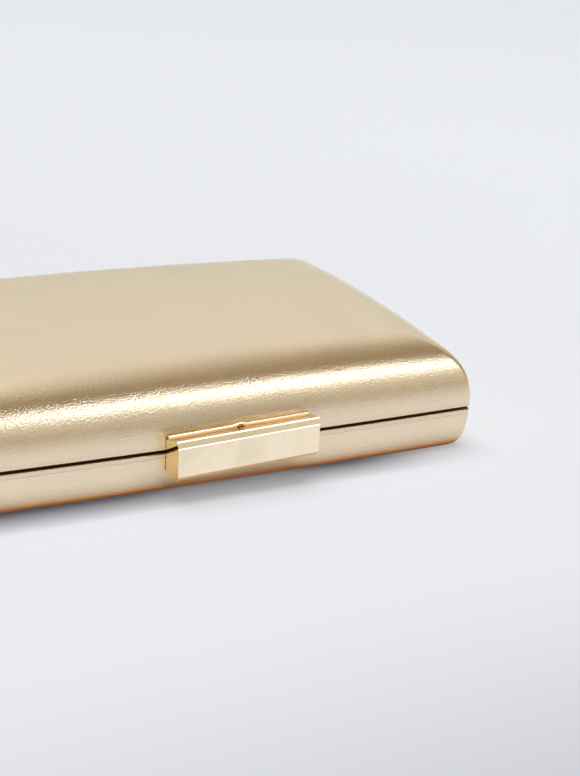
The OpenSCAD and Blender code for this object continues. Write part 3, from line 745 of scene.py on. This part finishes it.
def faceted_bar():
    """The latch bar with three lands ground on it: two that frame the facet and one between
    them and the front.

    The facet, the front and the top are cut along the bar, and the points on each cut or edge
    are put on the lands' lines.
    """
    work = merged("latch_bar")
    along = Vector((math.cos(LATCH_LEAN), 0, math.sin(LATCH_LEAN)))

    def seen(point):
        """Depth and height of a point in the latch's own frame."""
        offset = point - LATCH_PLACE
        return Vector((offset.y, offset @ LATCH_UP))

    def largest(fits):
        """The largest face whose normal fits."""
        return max((f for f in work.faces if fits(f.normal)), key=lambda f: f.calc_area())

    facet = largest(lambda normal: 0.3 < normal @ LATCH_UP < 0.6 and normal.y < -0.8)
    top = largest(lambda normal: normal @ LATCH_UP > 0.9).normal
    corners = sorted((seen(vert.co) for vert in facet.verts), key=lambda corner: corner.y)
    foot, ridge = corners[0], corners[-1]
    slope = (ridge - foot).normalized()
    front = min(seen(vert.co).x for vert in work.verts)

    upper = ridge - slope * HIGH_LAND
    reach = land_end(upper, ridge, Vector((top @ LATCH_UP, -top.y)))
    raised = foot + Vector((math.tan(SHADE_RISE) * SHADE_LAND, 0))
    low = foot + slope * LOW_LAND
    under = Vector((front, foot.y - SHADE_LAND))
    lines = (
        (ridge, (upper + reach) / 2),
        (upper, upper),
        (reach, reach),
        (foot, raised),
        (low, raised + Vector((math.tan(LOW_RISE), 1)) * (low.y - foot.y)),
        (under, under),
    )
    on_face, on_line = 0.01 * MM, 0.012 * MM
    for place in (upper, reach, low, under):
        point = LATCH_PLACE + Vector((0, place.x, 0)) + LATCH_UP * place.y
        faces = [
            face
            for face in work.faces
            if abs((point - face.calc_center_median()) @ face.normal) < on_face
            and abs(face.normal @ along) < 0.01
        ]
        cut(work, faces, point, Vector((0, 1, 0)) if place is reach else LATCH_UP)
    for vert in work.verts:
        here = seen(vert.co)
        for place, wanted in lines:
            if (here - place).length < on_line:
                shift = wanted - place
                vert.co += Vector((0, shift.x, 0)) + LATCH_UP * shift.y
                break
    made = rigid_piece("latch_bar_polished", work, smooth=False)
    mesh = made.data
    normals = np.empty((len(mesh.polygons), 3), np.float32)
    mesh.polygons.foreach_get("normal", normals.ravel())
    x, y, z = normals.T
    shade_land = (y < -0.9) & (np.abs(z - math.sin(SHADE_RISE)) < 0.05)
    # Faces painted a deeper gold as a reflection: the top, the underside and the shade land
    marked_faces(mesh, "crest_reflection", (z > 0.9) | (z < -0.2) | shade_land)
    # The ends, painted amber as a reflection
    marked_faces(mesh, "end_reflection", np.abs(x) > 0.5)
    return made


def land_end(start, ridge, fall):
    """Where the high land that starts below the ridge ends on the top, which falls behind it."""
    way = Vector((math.sin(HIGH_RISE), math.cos(HIGH_RISE)))
    gap = ridge - start
    share = (gap.x * way.y - gap.y * way.x) / (fall.y * way.x - fall.x * way.y)
    return ridge + fall * share


def cut(work, faces, point, across):
    """Cuts faces of a bmesh along the plane through a point, across a direction."""
    edges = {edge for face in faces for edge in face.edges}
    verts = {vert for face in faces for vert in face.verts}
    bmesh.ops.bisect_plane(
        work, geom=[*faces, *edges, *verts], plane_co=point, plane_no=across, dist=1e-7
    )


def softened(name, node, width, segments=3):
    """A copy of a rigid CAD node with its edges rounded, as polishing leaves them."""
    made = rigid_piece(name, merged(node))
    bevel = made.modifiers.new("Polished edges", "BEVEL")
    bevel.width, bevel.segments = width, segments
    bevel.limit_method, bevel.angle_limit = "ANGLE", ROUNDED_FROM
    bevel.harden_normals = True
    bevel.use_clamp_overlap = True
    return made


def sloped_catch(name, width, segments):
    """The catch plate with the top of its front sloped back behind the lip, and flat lands
    along its edges."""
    work = merged("catch_plate")
    start, rise, fall = LATCH_BACK - 0.9 * MM, 1.9 * MM, 0.7 * MM
    front, behind = -0.9 * MM, -0.5 * MM
    cut(work, list(work.faces), LATCH_PLACE + LATCH_UP * start, LATCH_UP)
    for vert in work.verts:
        offset = vert.co - LATCH_PLACE
        if front < offset.y < behind:
            vert.co.y += fall * min(max((offset @ LATCH_UP - start) / rise, 0), 1)
    edges = [
        edge for edge in work.edges if edge.is_manifold and edge.calc_face_angle() > ROUNDED_FROM
    ]
    bmesh.ops.bevel(
        work,
        geom=edges,
        offset=width,
        offset_type="OFFSET",
        segments=segments,
        profile=0.5,
        affect="EDGES",
        clamp_overlap=True,
    )
    made = rigid_piece(name, work)
    made.data.set_sharp_from_angle(angle=CREASED_FROM)
    return made


# Finishes


class Value:
    """A socket or a number in shader maths. Operators add Math nodes."""

    def __init__(self, recipe, source):
        self.recipe, self.source = recipe, source

    def maths(self, operation, *others):
        return self.recipe.node(
            "ShaderNodeMath", {"operation": operation}, dict(enumerate((self, *others)))
        )

    def __add__(self, other):
        return self.maths("ADD", other)

    __radd__ = __add__

    def __mul__(self, other):
        return self.maths("MULTIPLY", other)

    __rmul__ = __mul__

    def __sub__(self, other):
        return self.maths("SUBTRACT", other)

    def __rsub__(self, other):
        return self.recipe.value(other).maths("SUBTRACT", self)

    def __truediv__(self, other):
        return self.maths("DIVIDE", other)

    def __rtruediv__(self, other):
        return self.recipe.value(other).maths("DIVIDE", self)

    def __pow__(self, other):
        return self.maths("POWER", other)

    def limited(self, low, high):
        """Held between low and high."""
        return self.maths("MINIMUM", high).maths("MAXIMUM", low)

    def above(self, low, high):
        """0 below low and 1 above high, smooth between them."""
        return self.recipe.node(
            "ShaderNodeMapRange",
            {"interpolation_type": "SMOOTHSTEP"},
            {"Value": self, "From Min": low, "From Max": high},
        )

    def within(self, middle, width):
        """A soft bump of 1 at the middle that is 0 beyond the width on both sides."""
        return 1 - (self - middle).maths("ABSOLUTE").above(0, width)


class Recipe:
    """Builds one node tree: every node comes from node()."""

    def __init__(self, tree):
        self.tree = tree
        tree.nodes.clear()

    def value(self, number):
        return number if isinstance(number, Value) else Value(self, number)

    def node(self, kind, settings=None, sockets=None, output=0):
        """Adds a node: its type, its settings, then the values or links of its sockets."""
        node = self.tree.nodes.new(kind)
        for key, setting in (settings or {}).items():
            setattr(node, key, setting)
        for key, given in (sockets or {}).items():
            source = given.source if isinstance(given, Value) else given
            if isinstance(source, bpy.types.NodeSocket):
                self.tree.links.new(source, node.inputs[key])
            else:
                node.inputs[key].default_value = source
        return Value(self, node.outputs[output]) if len(node.outputs) else None

    def noise(self, place, scale, detail=2.0, roughness=0.5, warp=0.0):
        sockets = {"Vector": place, "Scale": scale, "Detail": detail, "Roughness": roughness}
        return self.node("ShaderNodeTexNoise", None, {**sockets, "Distortion": warp})

    def mark(self, name):
        """A number that the piece carries on its points or faces."""
        return self.node("ShaderNodeAttribute", {"attribute_name": name}, None, "Fac")

    def parts(self, vector, count=3):
        """The parts of a vector along X, Y and Z."""
        return [
            self.node("ShaderNodeSeparateXYZ", None, {0: vector}, axis) for axis in range(count)
        ]

    def rays(self):
        """Whether the ray comes from the camera, and whether off a glossy surface."""
        return [
            self.node("ShaderNodeLightPath", output=ray)
            for ray in ("Is Camera Ray", "Is Glossy Ray")
        ]

    def stretched(self, place, x, y, z):
        return self.node(
            "ShaderNodeVectorMath", {"operation": "MULTIPLY"}, {0: place, 1: (x, y, z)}
        )

    def blend(self, share, first, second, how="MIX"):
        """Mixes two colours. Sockets 6 and 7 are the colour inputs, and output 2 the colour."""
        return self.node(
            "ShaderNodeMix",
            {"data_type": "RGBA", "blend_type": how},
            {0: share, 6: colour(first), 7: colour(second)},
            output=2,
        )

    def bump(self, height, distance, strength=1.0):
        sockets = {"Strength": strength, "Distance": distance, "Height": height}
        return self.node("ShaderNodeBump", None, sockets)


def colour(given):
    """A colour as four numbers, or a link as it is."""
    return given if isinstance(given, Value) else (*tuple(given)[:3], 1.0)


def shade(given, share):
    return tuple(channel * share for channel in tuple(given)[:3])


def new_material(name):
    """A material and the recipe that builds it."""
    material = bpy.data.materials.new(name)
    material.use_nodes = True
    return material, Recipe(material.node_tree)


def finish(name, build):
    """A material whose shader sockets come from build(recipe, place): a dict of values."""
    material, recipe = new_material(name)
    sockets = build(recipe, recipe.node("ShaderNodeTexCoord", output="Object"))
    sockets["Base Color"] = colour(sockets["Base Color"])
    shader = recipe.node("ShaderNodeBsdfPrincipled", None, sockets)
    recipe.node("ShaderNodeOutputMaterial", None, {"Surface": shader})
    return material


def leatherette(colours):
    """Foil-coated leatherette: it scatters and shines as gold, under a strong greenish gloss.

    The grain is a fine pebble drawn out a little along the length, over shallow creases and a slow
    crumple, with painted shade in its pits. Rubbed rims are deeper in colour and duller from wear,
    with painted shade in the groove above them. Slow clouds vary tone and gloss, the edge turned in
    is painted dark as shade in the gap, and the foot gets a painted reflection of the shadowed
    floor.
    """

    def build(recipe, place):
        along = recipe.stretched(place, 0.85, 1.0, 1.0)
        pebble = recipe.noise(along, 2100, 1.0, 0.5)
        creases = recipe.noise(along, 560, 2.0, 0.5, 0.3)
        patches = recipe.noise(place, 110, 2.0, 0.5)
        clouds = recipe.noise(place, 34, 3.0, 0.55)
        wear_and_groove_shade, tuck, foot = (recipe.mark(name) for name in ("rim_wear_and_groove_shade", "tuck", "foot"))
        # The grain's pits, which get painted shade
        pits = 1 - pebble.above(0.3, 0.5)
        tone = recipe.blend(clouds.above(0.35, 0.7), colours.leather, shade(colours.leather, 0.94))
        # Painted shade in the pits and in the groove, and real wear on the rubbed rims, all towards
        # the crease colour
        tone = recipe.blend(
            (pits * 0.3 + wear_and_groove_shade * 0.8).maths("MINIMUM", 1.0), tone, colours.crease_shade_and_wear
        )
        # Painted reflection of the shadowed floor on the foot
        tone = recipe.blend(foot, tone, colours.leather_foot_reflection)
        # Painted shade in the gap, on the edge turned in
        tone = recipe.blend(tuck, tone, colours.tuck_gap_shade)
        height = pebble + creases * 0.1 + patches * 0.8
        return {
            "Base Color": tone,
            "Metallic": 0.3 + (tuck * 0.7).maths("MAXIMUM", foot * 0.7),
            "Roughness": 0.13 + clouds * 0.05 + wear_and_groove_shade * 0.12 + tuck * 0.35,
            "IOR": 4.8,
            "Specular Tint": (0.79, 0.97, 0.98, 1.0),
            "Normal": recipe.bump(height, 0.00009, 1.0),
        }

    return finish("gold_leatherette", build)


def plated(name, tint, roughness, scratch, brushed=0.0, marked=()):
    """Plated metal: a slow tarnish in the tint, handling smears in the gloss, and hairlines.

    marked holds the tint, a painted reflection, and the added roughness of faces that carry a named
    mark.
    """

    def build(recipe, place):
        tarnish = recipe.noise(place, 90, 3.0, 0.55)
        smear = recipe.noise(recipe.stretched(place, 0.4, 1.0, 1.3), 240, 4.0, 0.6, 0.6)
        hair = recipe.noise(recipe.stretched(place, 0.05, 1.0, 1.0), 5200, 2.0, 0.5)
        specks = recipe.noise(place, 1900, 1.0).above(0.70, 0.78)
        tone = recipe.blend(tarnish.above(0.35, 0.75), tint, shade(tint, 0.90))
        tone = recipe.blend(specks * 0.25, tone, shade(tint, 0.6))
        gloss = roughness + smear.above(0.4, 0.75) * (roughness * 0.5) + specks * 0.08
        for key, deeper, duller in marked:
            share = recipe.mark(key)
            tone = recipe.blend(share, tone, deeper)
            gloss = gloss + share * duller
        return {
            "Base Color": tone,
            "Metallic": 1.0,
            "Roughness": gloss,
            "Normal": recipe.bump(hair * (0.3 + brushed) + smear * 0.5, 0.00001, scratch),
        }

    return finish(name, build)


def woven(name, tint):
    """Satin: warp threads that float over several weft threads, on the piece's flat layout.

    The warp is a sine wave of one thread pitch, the dips where it goes under the weft step
    sideways from thread to thread, and a noise along the threads gives slubs.
    """
    pitch = 0.42 * MM

    def build(recipe, place):
        flat = recipe.node("ShaderNodeUVMap", {"uv_map": "Layout"})
        across, along = (part * (1 / pitch) for part in recipe.parts(flat, 2))
        warp = (across * (2 * math.pi)).maths("SINE") * 0.5 + 0.5
        thread = across.maths("FLOOR")
        step = (along * 0.25 + thread * 0.4).maths("FRACT")
        dip = step.within(0.5, 0.16)
        slub = recipe.noise(recipe.stretched(flat, 1.0, 0.06, 1.0), 1400, 2.0)
        clouds = recipe.noise(place, 28, 3.0)
        tone = recipe.blend(clouds.above(0.3, 0.75), tint, shade(tint, 0.86))
        # Painted shade where the warp dips under the weft and in the troughs between warp threads
        tone = recipe.blend(dip * 0.5 + (1 - warp) * 0.3, tone, shade(tint, 0.55))
        tone = recipe.blend(slub.above(0.55, 0.8) * 0.35, tone, shade(tint, 1.2))
        height = warp * 0.6 - dip * 0.5 + slub * 0.35
        return {
            "Base Color": tone,
            "Roughness": 0.48 + clouds * 0.14,
            "Sheen Weight": 0.35,
            "Sheen Roughness": 0.4,
            "Specular IOR Level": 0.45,
            "Normal": recipe.bump(height, 0.00008, 0.6),
        }

    return finish(name, build)


def moulded(name, tint, roughness, grain, depth):
    """Moulded plastic or foam: a grained skin with cloudy tone."""

    def build(recipe, place):
        clouds = recipe.noise(place, 40, 3.0)
        fine = recipe.noise(place, grain, 4.0, 0.6)
        return {
            "Base Color": recipe.blend(clouds.above(0.3, 0.7), tint, shade(tint, 0.82)),
            "Roughness": roughness + fine * 0.12,
            "Normal": recipe.bump(fine, depth, 0.5),
        }

    return finish(name, build)


def twisted(name, tint):
    """Sewing thread: plies that wind round it."""

    def build(recipe, place):
        ply = recipe.node(
            "ShaderNodeTexWave",
            {"bands_direction": "DIAGONAL"},
            {"Vector": place, "Scale": 900, "Distortion": 0.6},
            output="Fac",
        )
        return {
            # Painted shade in the grooves between the plies
            "Base Color": recipe.blend(ply, shade(tint, 0.7), tint),
            "Roughness": 0.6,
            "Sheen Weight": 0.2,
            "Normal": recipe.bump(ply, 0.00004, 0.6),
        }

    return finish(name, build)


def painted(material, *names):
    """Gives CAD nodes, which stay as they are, a finish."""
    for name in names:
        slots = NODES[name].data.materials
        slots.clear()
        slots.append(material)


# Operators


class Step:
    """What the operators share."""

    bl_options = {"REGISTER", "UNDO"}

    def execute(self, context):
        scene = context.scene
        self.make(scene.clutch_form, scene.clutch_layers, scene.clutch_colours)
        return {"FINISHED"}


class CLUTCH_OT_covers(Step, bpy.types.Operator):
    """Leatherette covers of lid and lower half"""

    bl_idname = "clutch.covers"
    bl_label = "Covers"

    def make(self, form, layers, colours):
        material = leatherette(colours)
        seed = bpy.context.scene.clutch_studio.seed
        for lid, side, level, body in HALVES:
            made, half = cover_piece(f"{side}_cover", form, layers, lid, seed + lid)
            dressed(made, material, body, "leatherette", f"{level}_cover")
            declare_sheet(made, half, 0.0, layers.turned_edge)


class CLUTCH_OT_foams(Step, bpy.types.Operator):
    """Foam sheets under the leatherette"""

    bl_idname = "clutch.foams"
    bl_label = "Foam sheets"

    def make(self, form, layers, colours):
        material = moulded(
            "foam_sheet", colours.foam, roughness=0.8, grain=1600, depth=0.2 * MM
        )
        for lid, side, level, body in HALVES:
            made = foam_piece(f"{side}_foam", form, layers, lid)
            dressed(made, material, body, "foam", f"{level}_padding")


class CLUTCH_OT_linings(Step, bpy.types.Operator):
    """Satin linings on card"""

    bl_idname = "clutch.linings"
    bl_label = "Linings"

    def make(self, form, layers, colours):
        material = woven("satin_lining", colours.satin)
        for lid, side, level, body in HALVES:
            seed = LINING_SEED + lid
            made, half = lining_piece(f"{side}_lining", form, layers, lid, seed)
            dressed(made, material, body, "lining_fabric", f"{level}_lining")
            declare_sheet(made, half, layers.lining_start, 0.0)


class CLUTCH_OT_pocket(Step, bpy.types.Operator):
    """Slip pocket in the lid, with its stitches"""

    bl_idname = "clutch.pocket"
    bl_label = "Slip pocket"

    def make(self, form, layers, colours):
        material = woven("pocket_satin", colours.pocket)
        panel = dressed(pocket_panel(layers), material, LID, "pocket_fabric", "slip_pocket")
        thread = twisted("sewing_thread", shade(colours.satin, 1.15))
        stitches = dressed(pocket_stitches(layers), thread, LID, "pocket_fabric")


class CLUTCH_OT_frames(Step, bpy.types.Operator):
    """Shells and rim frames"""

    bl_idname = "clutch.frames"
    bl_label = "Shells and rim frames"

    def make(self, form, layers, colours):
        shell = moulded(
            "shell_plastic", colours.plastic, roughness=0.45, grain=2600, depth=0.06 * MM
        )
        painted(shell, "upper_shell", "lower_shell")
        metal = plated(
            "rim_frame_gold", colours.frame, roughness=0.17, scratch=0.5, brushed=0.5
        )
        for _, side, level, body in HALVES:
            node = f"{level}_frame"
            made = softened(f"{side}_rim_frame", node, FRAME_EDGE, 2)
            dressed(made, metal, body, "frame_metal", node)


class CLUTCH_OT_hinges(Step, bpy.types.Operator):
    """Hinge leaves, pins and rivets"""

    bl_idname = "clutch.hinges"
    bl_label = "Hinges"

    def make(self, form, layers, colours):
        leaf = plated("hinge_gold", colours.frame, roughness=0.2, scratch=0.5, brushed=0.3)
        pin = plated("pin_brass", colours.brass, roughness=0.16, scratch=0.4)
        rivet = plated("rivet_brass", colours.brass, roughness=0.18, scratch=0.4)
        halves = (("base", BASE), ("lid", LID))
        for side in ("left", "right"):
            for half, body in halves:
                node = f"{side}_{half}_leaf"
                made = softened(f"{side}_{half}_hinge_leaf", node, LEAF_EDGE, 2)
                dressed(made, leaf, body, "hinge_metal", node)
            painted(pin, f"{side}_hinge_pin")
        for half, body in halves:
            node = f"{half}_leaf_rivets"
            made = softened(f"{half}_hinge_rivets", node, HINGE_RIVET_EDGE)
            dressed(made, rivet, body, "rivet_metal", node)


class CLUTCH_OT_latch(Step, bpy.types.Operator):
    """Latch bar, its pin, plate and spring, and the catch"""

    bl_idname = "clutch.latch"
    bl_label = "Latch and catch"

    def make(self, form, layers, colours):
        bright = {"roughness": 0.055, "scratch": 0.35}
        # Painted reflections on the latch bar: a deeper gold on its top, underside and shade land,
        # and amber on its ends
        duller = (("crest_reflection", colours.gold_crest_reflection, 0.2), ("end_reflection", colours.gold_end_reflection, 0.0))
        gold = plated("polished_gold", colours.gold, **bright, marked=duller)
        rivet = plated("latch_rivet_brass", colours.brass, roughness=0.14, scratch=0.4)
        dressed(faceted_bar(), gold, LATCH, "polished_gold", "latch_bar")
        catch = sloped_catch("catch_plate_polished", layers.bevel, 2)
        # The catch, painted amber all over as a reflection of gold in gold
        shaded = plated("catch_amber_reflection", colours.gold_amber_reflection, roughness=0.32, scratch=0.35)
        dressed(catch, shaded, LID, "polished_gold", "catch_plate")
        # The lip: its roll is painted near white as a highlight, and its other faces amber as a
        # reflection
        duller = (("crest_reflection", colours.gold_amber_reflection, 0.28),)
        rolled = plated("rolled_gold_highlight", colours.gold_roll_highlight, **bright, marked=duller)
        dressed(catch_lip(), rolled, LID, "polished_gold")
        for node, name, body, slot, metal, width in (
            ("latch_plate", "latch_plate_polished", BASE, "polished_gold", gold, PLATE_EDGE),
            ("catch_plate_rivets", "catch_rivets", LID, "rivet_metal", rivet, LATCH_RIVET_EDGE),
            ("latch_plate_rivets", "latch_rivets", BASE, "rivet_metal", rivet, LATCH_RIVET_EDGE),
        ):
            dressed(softened(name, node, width), metal, body, slot, node)
        pin = plated("latch_pin_brass", colours.brass, roughness=0.14, scratch=0.4)
        painted(pin, "latch_pin")
        spring = plated(
            "spring_steel_blue", colours.steel, roughness=0.24, scratch=0.7, brushed=0.5
        )
        painted(spring, "latch_spring")


class CLUTCH_OT_studio(Step, bpy.types.Operator):
    """Pale floor, soft lamps and the camera"""

    bl_idname = "clutch.studio"
    bl_label = "Studio"

    def make(self, form, layers, colours):
        studio = bpy.context.scene.clutch_studio
        make_floor(studio, colours)
        make_room(studio, colours)
        make_lamps(studio)
        make_camera(studio)
        bpy.context.scene.view_settings.view_transform = "Standard"


def declare_sheet(made, half, start, turned):
    """Works out what a cover or lining was cut to: the two arcs over its middle, and its area,
    which is half of the closed skin's. The smaller of that area and the arcs' product is not kept."""
    area = sum(face.area for face in made.data.polygons) / 2
    edge, level = half.rounding(0, max(start, 0.1 * MM), 400)
    arcs = []
    for size, round_ in ((half.length, half.end), (half.depth, half.side)):
        arc = np.hypot(np.diff(edge) * round_, np.diff(level) * half.height).sum()
        arcs.append(2 * (size - round_ + arc + turned))
    min(area, arcs[0] * arcs[1])


def make_floor(studio, colours):
    """A wide pale floor that darkens far in front.

    Cameras see it partly evenly lit, with a painted shadow close round the clutch that is faint
    at the +X end. Other rays see the far front darker still, and glossy ones also see it warmer
    and, away from the clutch, partly evenly lit.
    """
    reach = studio.floor_reach
    points = np.array([(-1, -1, 0), (1, -1, 0), (1, 1, 0), (-1, 1, 0)]) * reach
    floor = new_piece("floor", points, [(0, 1, 2, 3)], smooth=False)
    material, recipe = new_material("floor_paper")
    place = recipe.node("ShaderNodeTexCoord", output="Object")
    clouds = recipe.noise(place, 3.0, 2.0)
    x, y = recipe.parts(place, 2)
    seen, mirrored = recipe.rays()
    ahead, out = y * -1, x.maths("ABSOLUTE")
    far_ahead = ahead.above(0.13, 0.36)
    distance = (x * x + y * y) ** 0.5
    pool = (1 - far_ahead * 0.43) * (1 - distance.above(0.3, 1.6) * 0.07)
    dusk = pool - far_ahead * (1 - seen) * 0.3
    beside = (out - SHADOW_X).maths("MAXIMUM", y.maths("ABSOLUTE") - SHADOW_Y)
    shadow = ((SHADOW_END - beside) / SHADOW_FADE).limited(0.0, 1.0)
    shadow = shadow * (0.8 + out.above(0.02, 0.04) * 0.2) * (1 - x.above(0.045, 0.1) * 0.9)
    tone = recipe.blend(clouds, colours.floor, shade(colours.floor, 0.985))
    dark = recipe.blend(shadow * seen, (1, 1, 1), (0.135, 0.14, 0.165))
    warm = recipe.blend(ahead.above(0.1, 0.3) * mirrored, (1, 1, 1), (1.0, 0.93, 0.77))
    for over in (dark, warm, dusk):
        tone = recipe.blend(1.0, tone, over, "MULTIPLY")
    lit = recipe.node("ShaderNodeBsdfDiffuse", None, {"Color": tone, "Roughness": 0.9})
    glow = {"Color": tone, "Strength": 0.98 + mirrored * 0.72}
    even = recipe.node("ShaderNodeEmission", None, glow)
    share = mirrored * beside.above(-0.002, 0.014) * 0.4 + seen * 0.45
    mixed = recipe.node("ShaderNodeMixShader", None, {0: share, 1: lit, 2: even})
    recipe.node("ShaderNodeOutputMaterial", None, {"Surface": mixed})
    floor.data.materials.append(material)


def make_room(studio, colours):
    """The pale room round the clutch, by direction.

    Glossy surfaces see it bright behind, a slightly warm wall in front that dims towards the
    horizon, dark between the two and pale overhead. Everything else gets cool light from a low
    ring, and cameras see the floor's colour.
    """
    world = bpy.data.worlds.new("studio_room")
    bpy.context.scene.world = world
    world.use_nodes = True
    recipe = Recipe(world.node_tree)
    x, y, z = recipe.parts(recipe.node("ShaderNodeTexCoord", output="Generated"))
    seen, mirrored = recipe.rays()
    degrees = 180 / math.pi
    high = z.maths("ARCSINE") * degrees
    level = ((x * x + y * y) ** 0.5).maths("MAXIMUM", 0.001)

    def aside(azimuth):
        """Degrees round the horizon from an azimuth."""
        a = math.radians(azimuth)
        share = (x * math.sin(a) + y * math.cos(a)) / level
        return share.limited(-1.0, 1.0).maths("ARCCOSINE") * degrees

    behind = 1 - aside(10).above(24, 94)
    front = (1 - aside(152).above(24, 52)) * (1 - high.above(25, 39))
    ahead = 1 - behind
    between = ahead * (1 - front) * (0.06 + high.above(54, 80) * 0.8)
    back_wall = behind * (0.8 + high.above(2, 28) * 0.2)
    front_wall = front * (0.52 + high.above(-8, 24) * 0.45) * (1 - back_wall)
    shown = back_wall * 0.97 + front_wall + between
    fill = 0.05 + (1 - high.above(4, 15)) * 3
    strength = (mirrored * shown + (1 - mirrored) * fill) * studio.room
    warmth = ahead * (1 - high.above(15, 30) * 0.5)
    tone = recipe.blend(warmth, (1, 1, 1), (0.99, 0.93, 0.77))
    tone = recipe.blend(mirrored, (0.86, 0.94, 1.14), tone)
    glow = recipe.node("ShaderNodeBackground", None, {"Color": tone, "Strength": strength})
    plain = recipe.node("ShaderNodeBackground", None, {"Color": colour(colours.floor)})
    mixed = recipe.node("ShaderNodeMixShader", None, {0: seen, 1: glow, 2: plain})
    recipe.node("ShaderNodeOutputWorld", None, {"Surface": mixed})


def add_lamp(name, azimuth, elevation, distance, size, power):
    """A softbox that faces the origin, by azimuth from +Y towards +X and by elevation, both in
    degrees, with its second size upwards."""
    a, e = math.radians(azimuth), math.radians(elevation)
    heading = Vector((math.sin(a) * math.cos(e), math.cos(a) * math.cos(e), math.sin(e)))
    data = bpy.data.lights.new(name, "AREA")
    data.shape, (data.size, data.size_y), data.energy = "RECTANGLE", size, power
    lamp = add_object(name, data)
    lamp.location = heading * distance
    lamp.rotation_euler = heading.to_track_quat("Z", "Y").to_euler()
    return lamp


def make_lamps(studio):
    """The key light, and a wide one overhead that no glossy surface shows."""
    add_lamp(
        "key_softbox", azimuth=149, elevation=31, distance=1.6, size=(1.16, 0.34), power=studio.key
    )
    top = add_lamp(
        "top_softbox", azimuth=-10, elevation=84, distance=6.0, size=(5.0, 5.0), power=studio.top
    )
    top.visible_glossy = False


def make_camera(studio):
    """The camera, from its yaw, pitch and roll and from where it sees the parting's middle."""
    yaw, pitch, roll = (math.radians(angle) for angle in CAMERA_TURN)
    ahead = Vector(
        (math.sin(yaw) * math.cos(pitch), math.cos(yaw) * math.cos(pitch), -math.sin(pitch))
    )
    level = Vector((math.cos(yaw), -math.sin(yaw), 0))
    upright = level.cross(ahead)
    right = math.cos(roll) * level + math.sin(roll) * upright
    up = -math.sin(roll) * level + math.cos(roll) * upright
    parting = Vector((0, 0, (LID_RIM + LOWER_RIM) / 2))
    place = parting - ahead * CAMERA_AHEAD + right * CAMERA_LEFT - up * CAMERA_ABOVE
    data = bpy.data.cameras.new("camera")
    data.lens, data.sensor_width, data.sensor_fit = studio.lens, 36, "AUTO"
    data.clip_start, data.clip_end = 0.01, 60
    camera = add_object("camera", data)
    turn = Matrix((right, up, -ahead)).transposed().to_4x4()
    camera.matrix_world = Matrix.Translation(place) @ turn
    bpy.context.scene.camera = camera


OPERATORS = (
    CLUTCH_OT_covers,
    CLUTCH_OT_foams,
    CLUTCH_OT_linings,
    CLUTCH_OT_pocket,
    CLUTCH_OT_frames,
    CLUTCH_OT_hinges,
    CLUTCH_OT_latch,
    CLUTCH_OT_studio,
)


class CLUTCH_PT_panel(bpy.types.Panel):
    """Lists the sizes, the colours and the steps"""

    bl_label = "Box clutch bag"
    bl_idname = "CLUTCH_PT_panel"
    bl_space_type = "VIEW_3D"
    bl_region_type = "UI"
    bl_category = "Clutch"

    def draw(self, context):
        for name, group in GROUPS.items():
            box = self.layout.box()
            box.label(text=group.__doc__)
            for key in group.__annotations__:
                box.prop(getattr(context.scene, name), key)
        for step in OPERATORS:
            self.layout.operator(step.bl_idname)


CLASSES = (*GROUPS.values(), *OPERATORS, CLUTCH_PT_panel)


def register():
    for each in CLASSES:
        bpy.utils.register_class(each)
    for name, group in GROUPS.items():
        setattr(bpy.types.Scene, name, PointerProperty(type=group))


def unregister():
    for name in GROUPS:
        delattr(bpy.types.Scene, name)
    for each in reversed(CLASSES):
        bpy.utils.unregister_class(each)


def main():
    register()
    for step in OPERATORS:
        group, name = step.bl_idname.split(".")
        getattr(getattr(bpy.ops, group), name)()


if __name__ == "__main__":
    main()
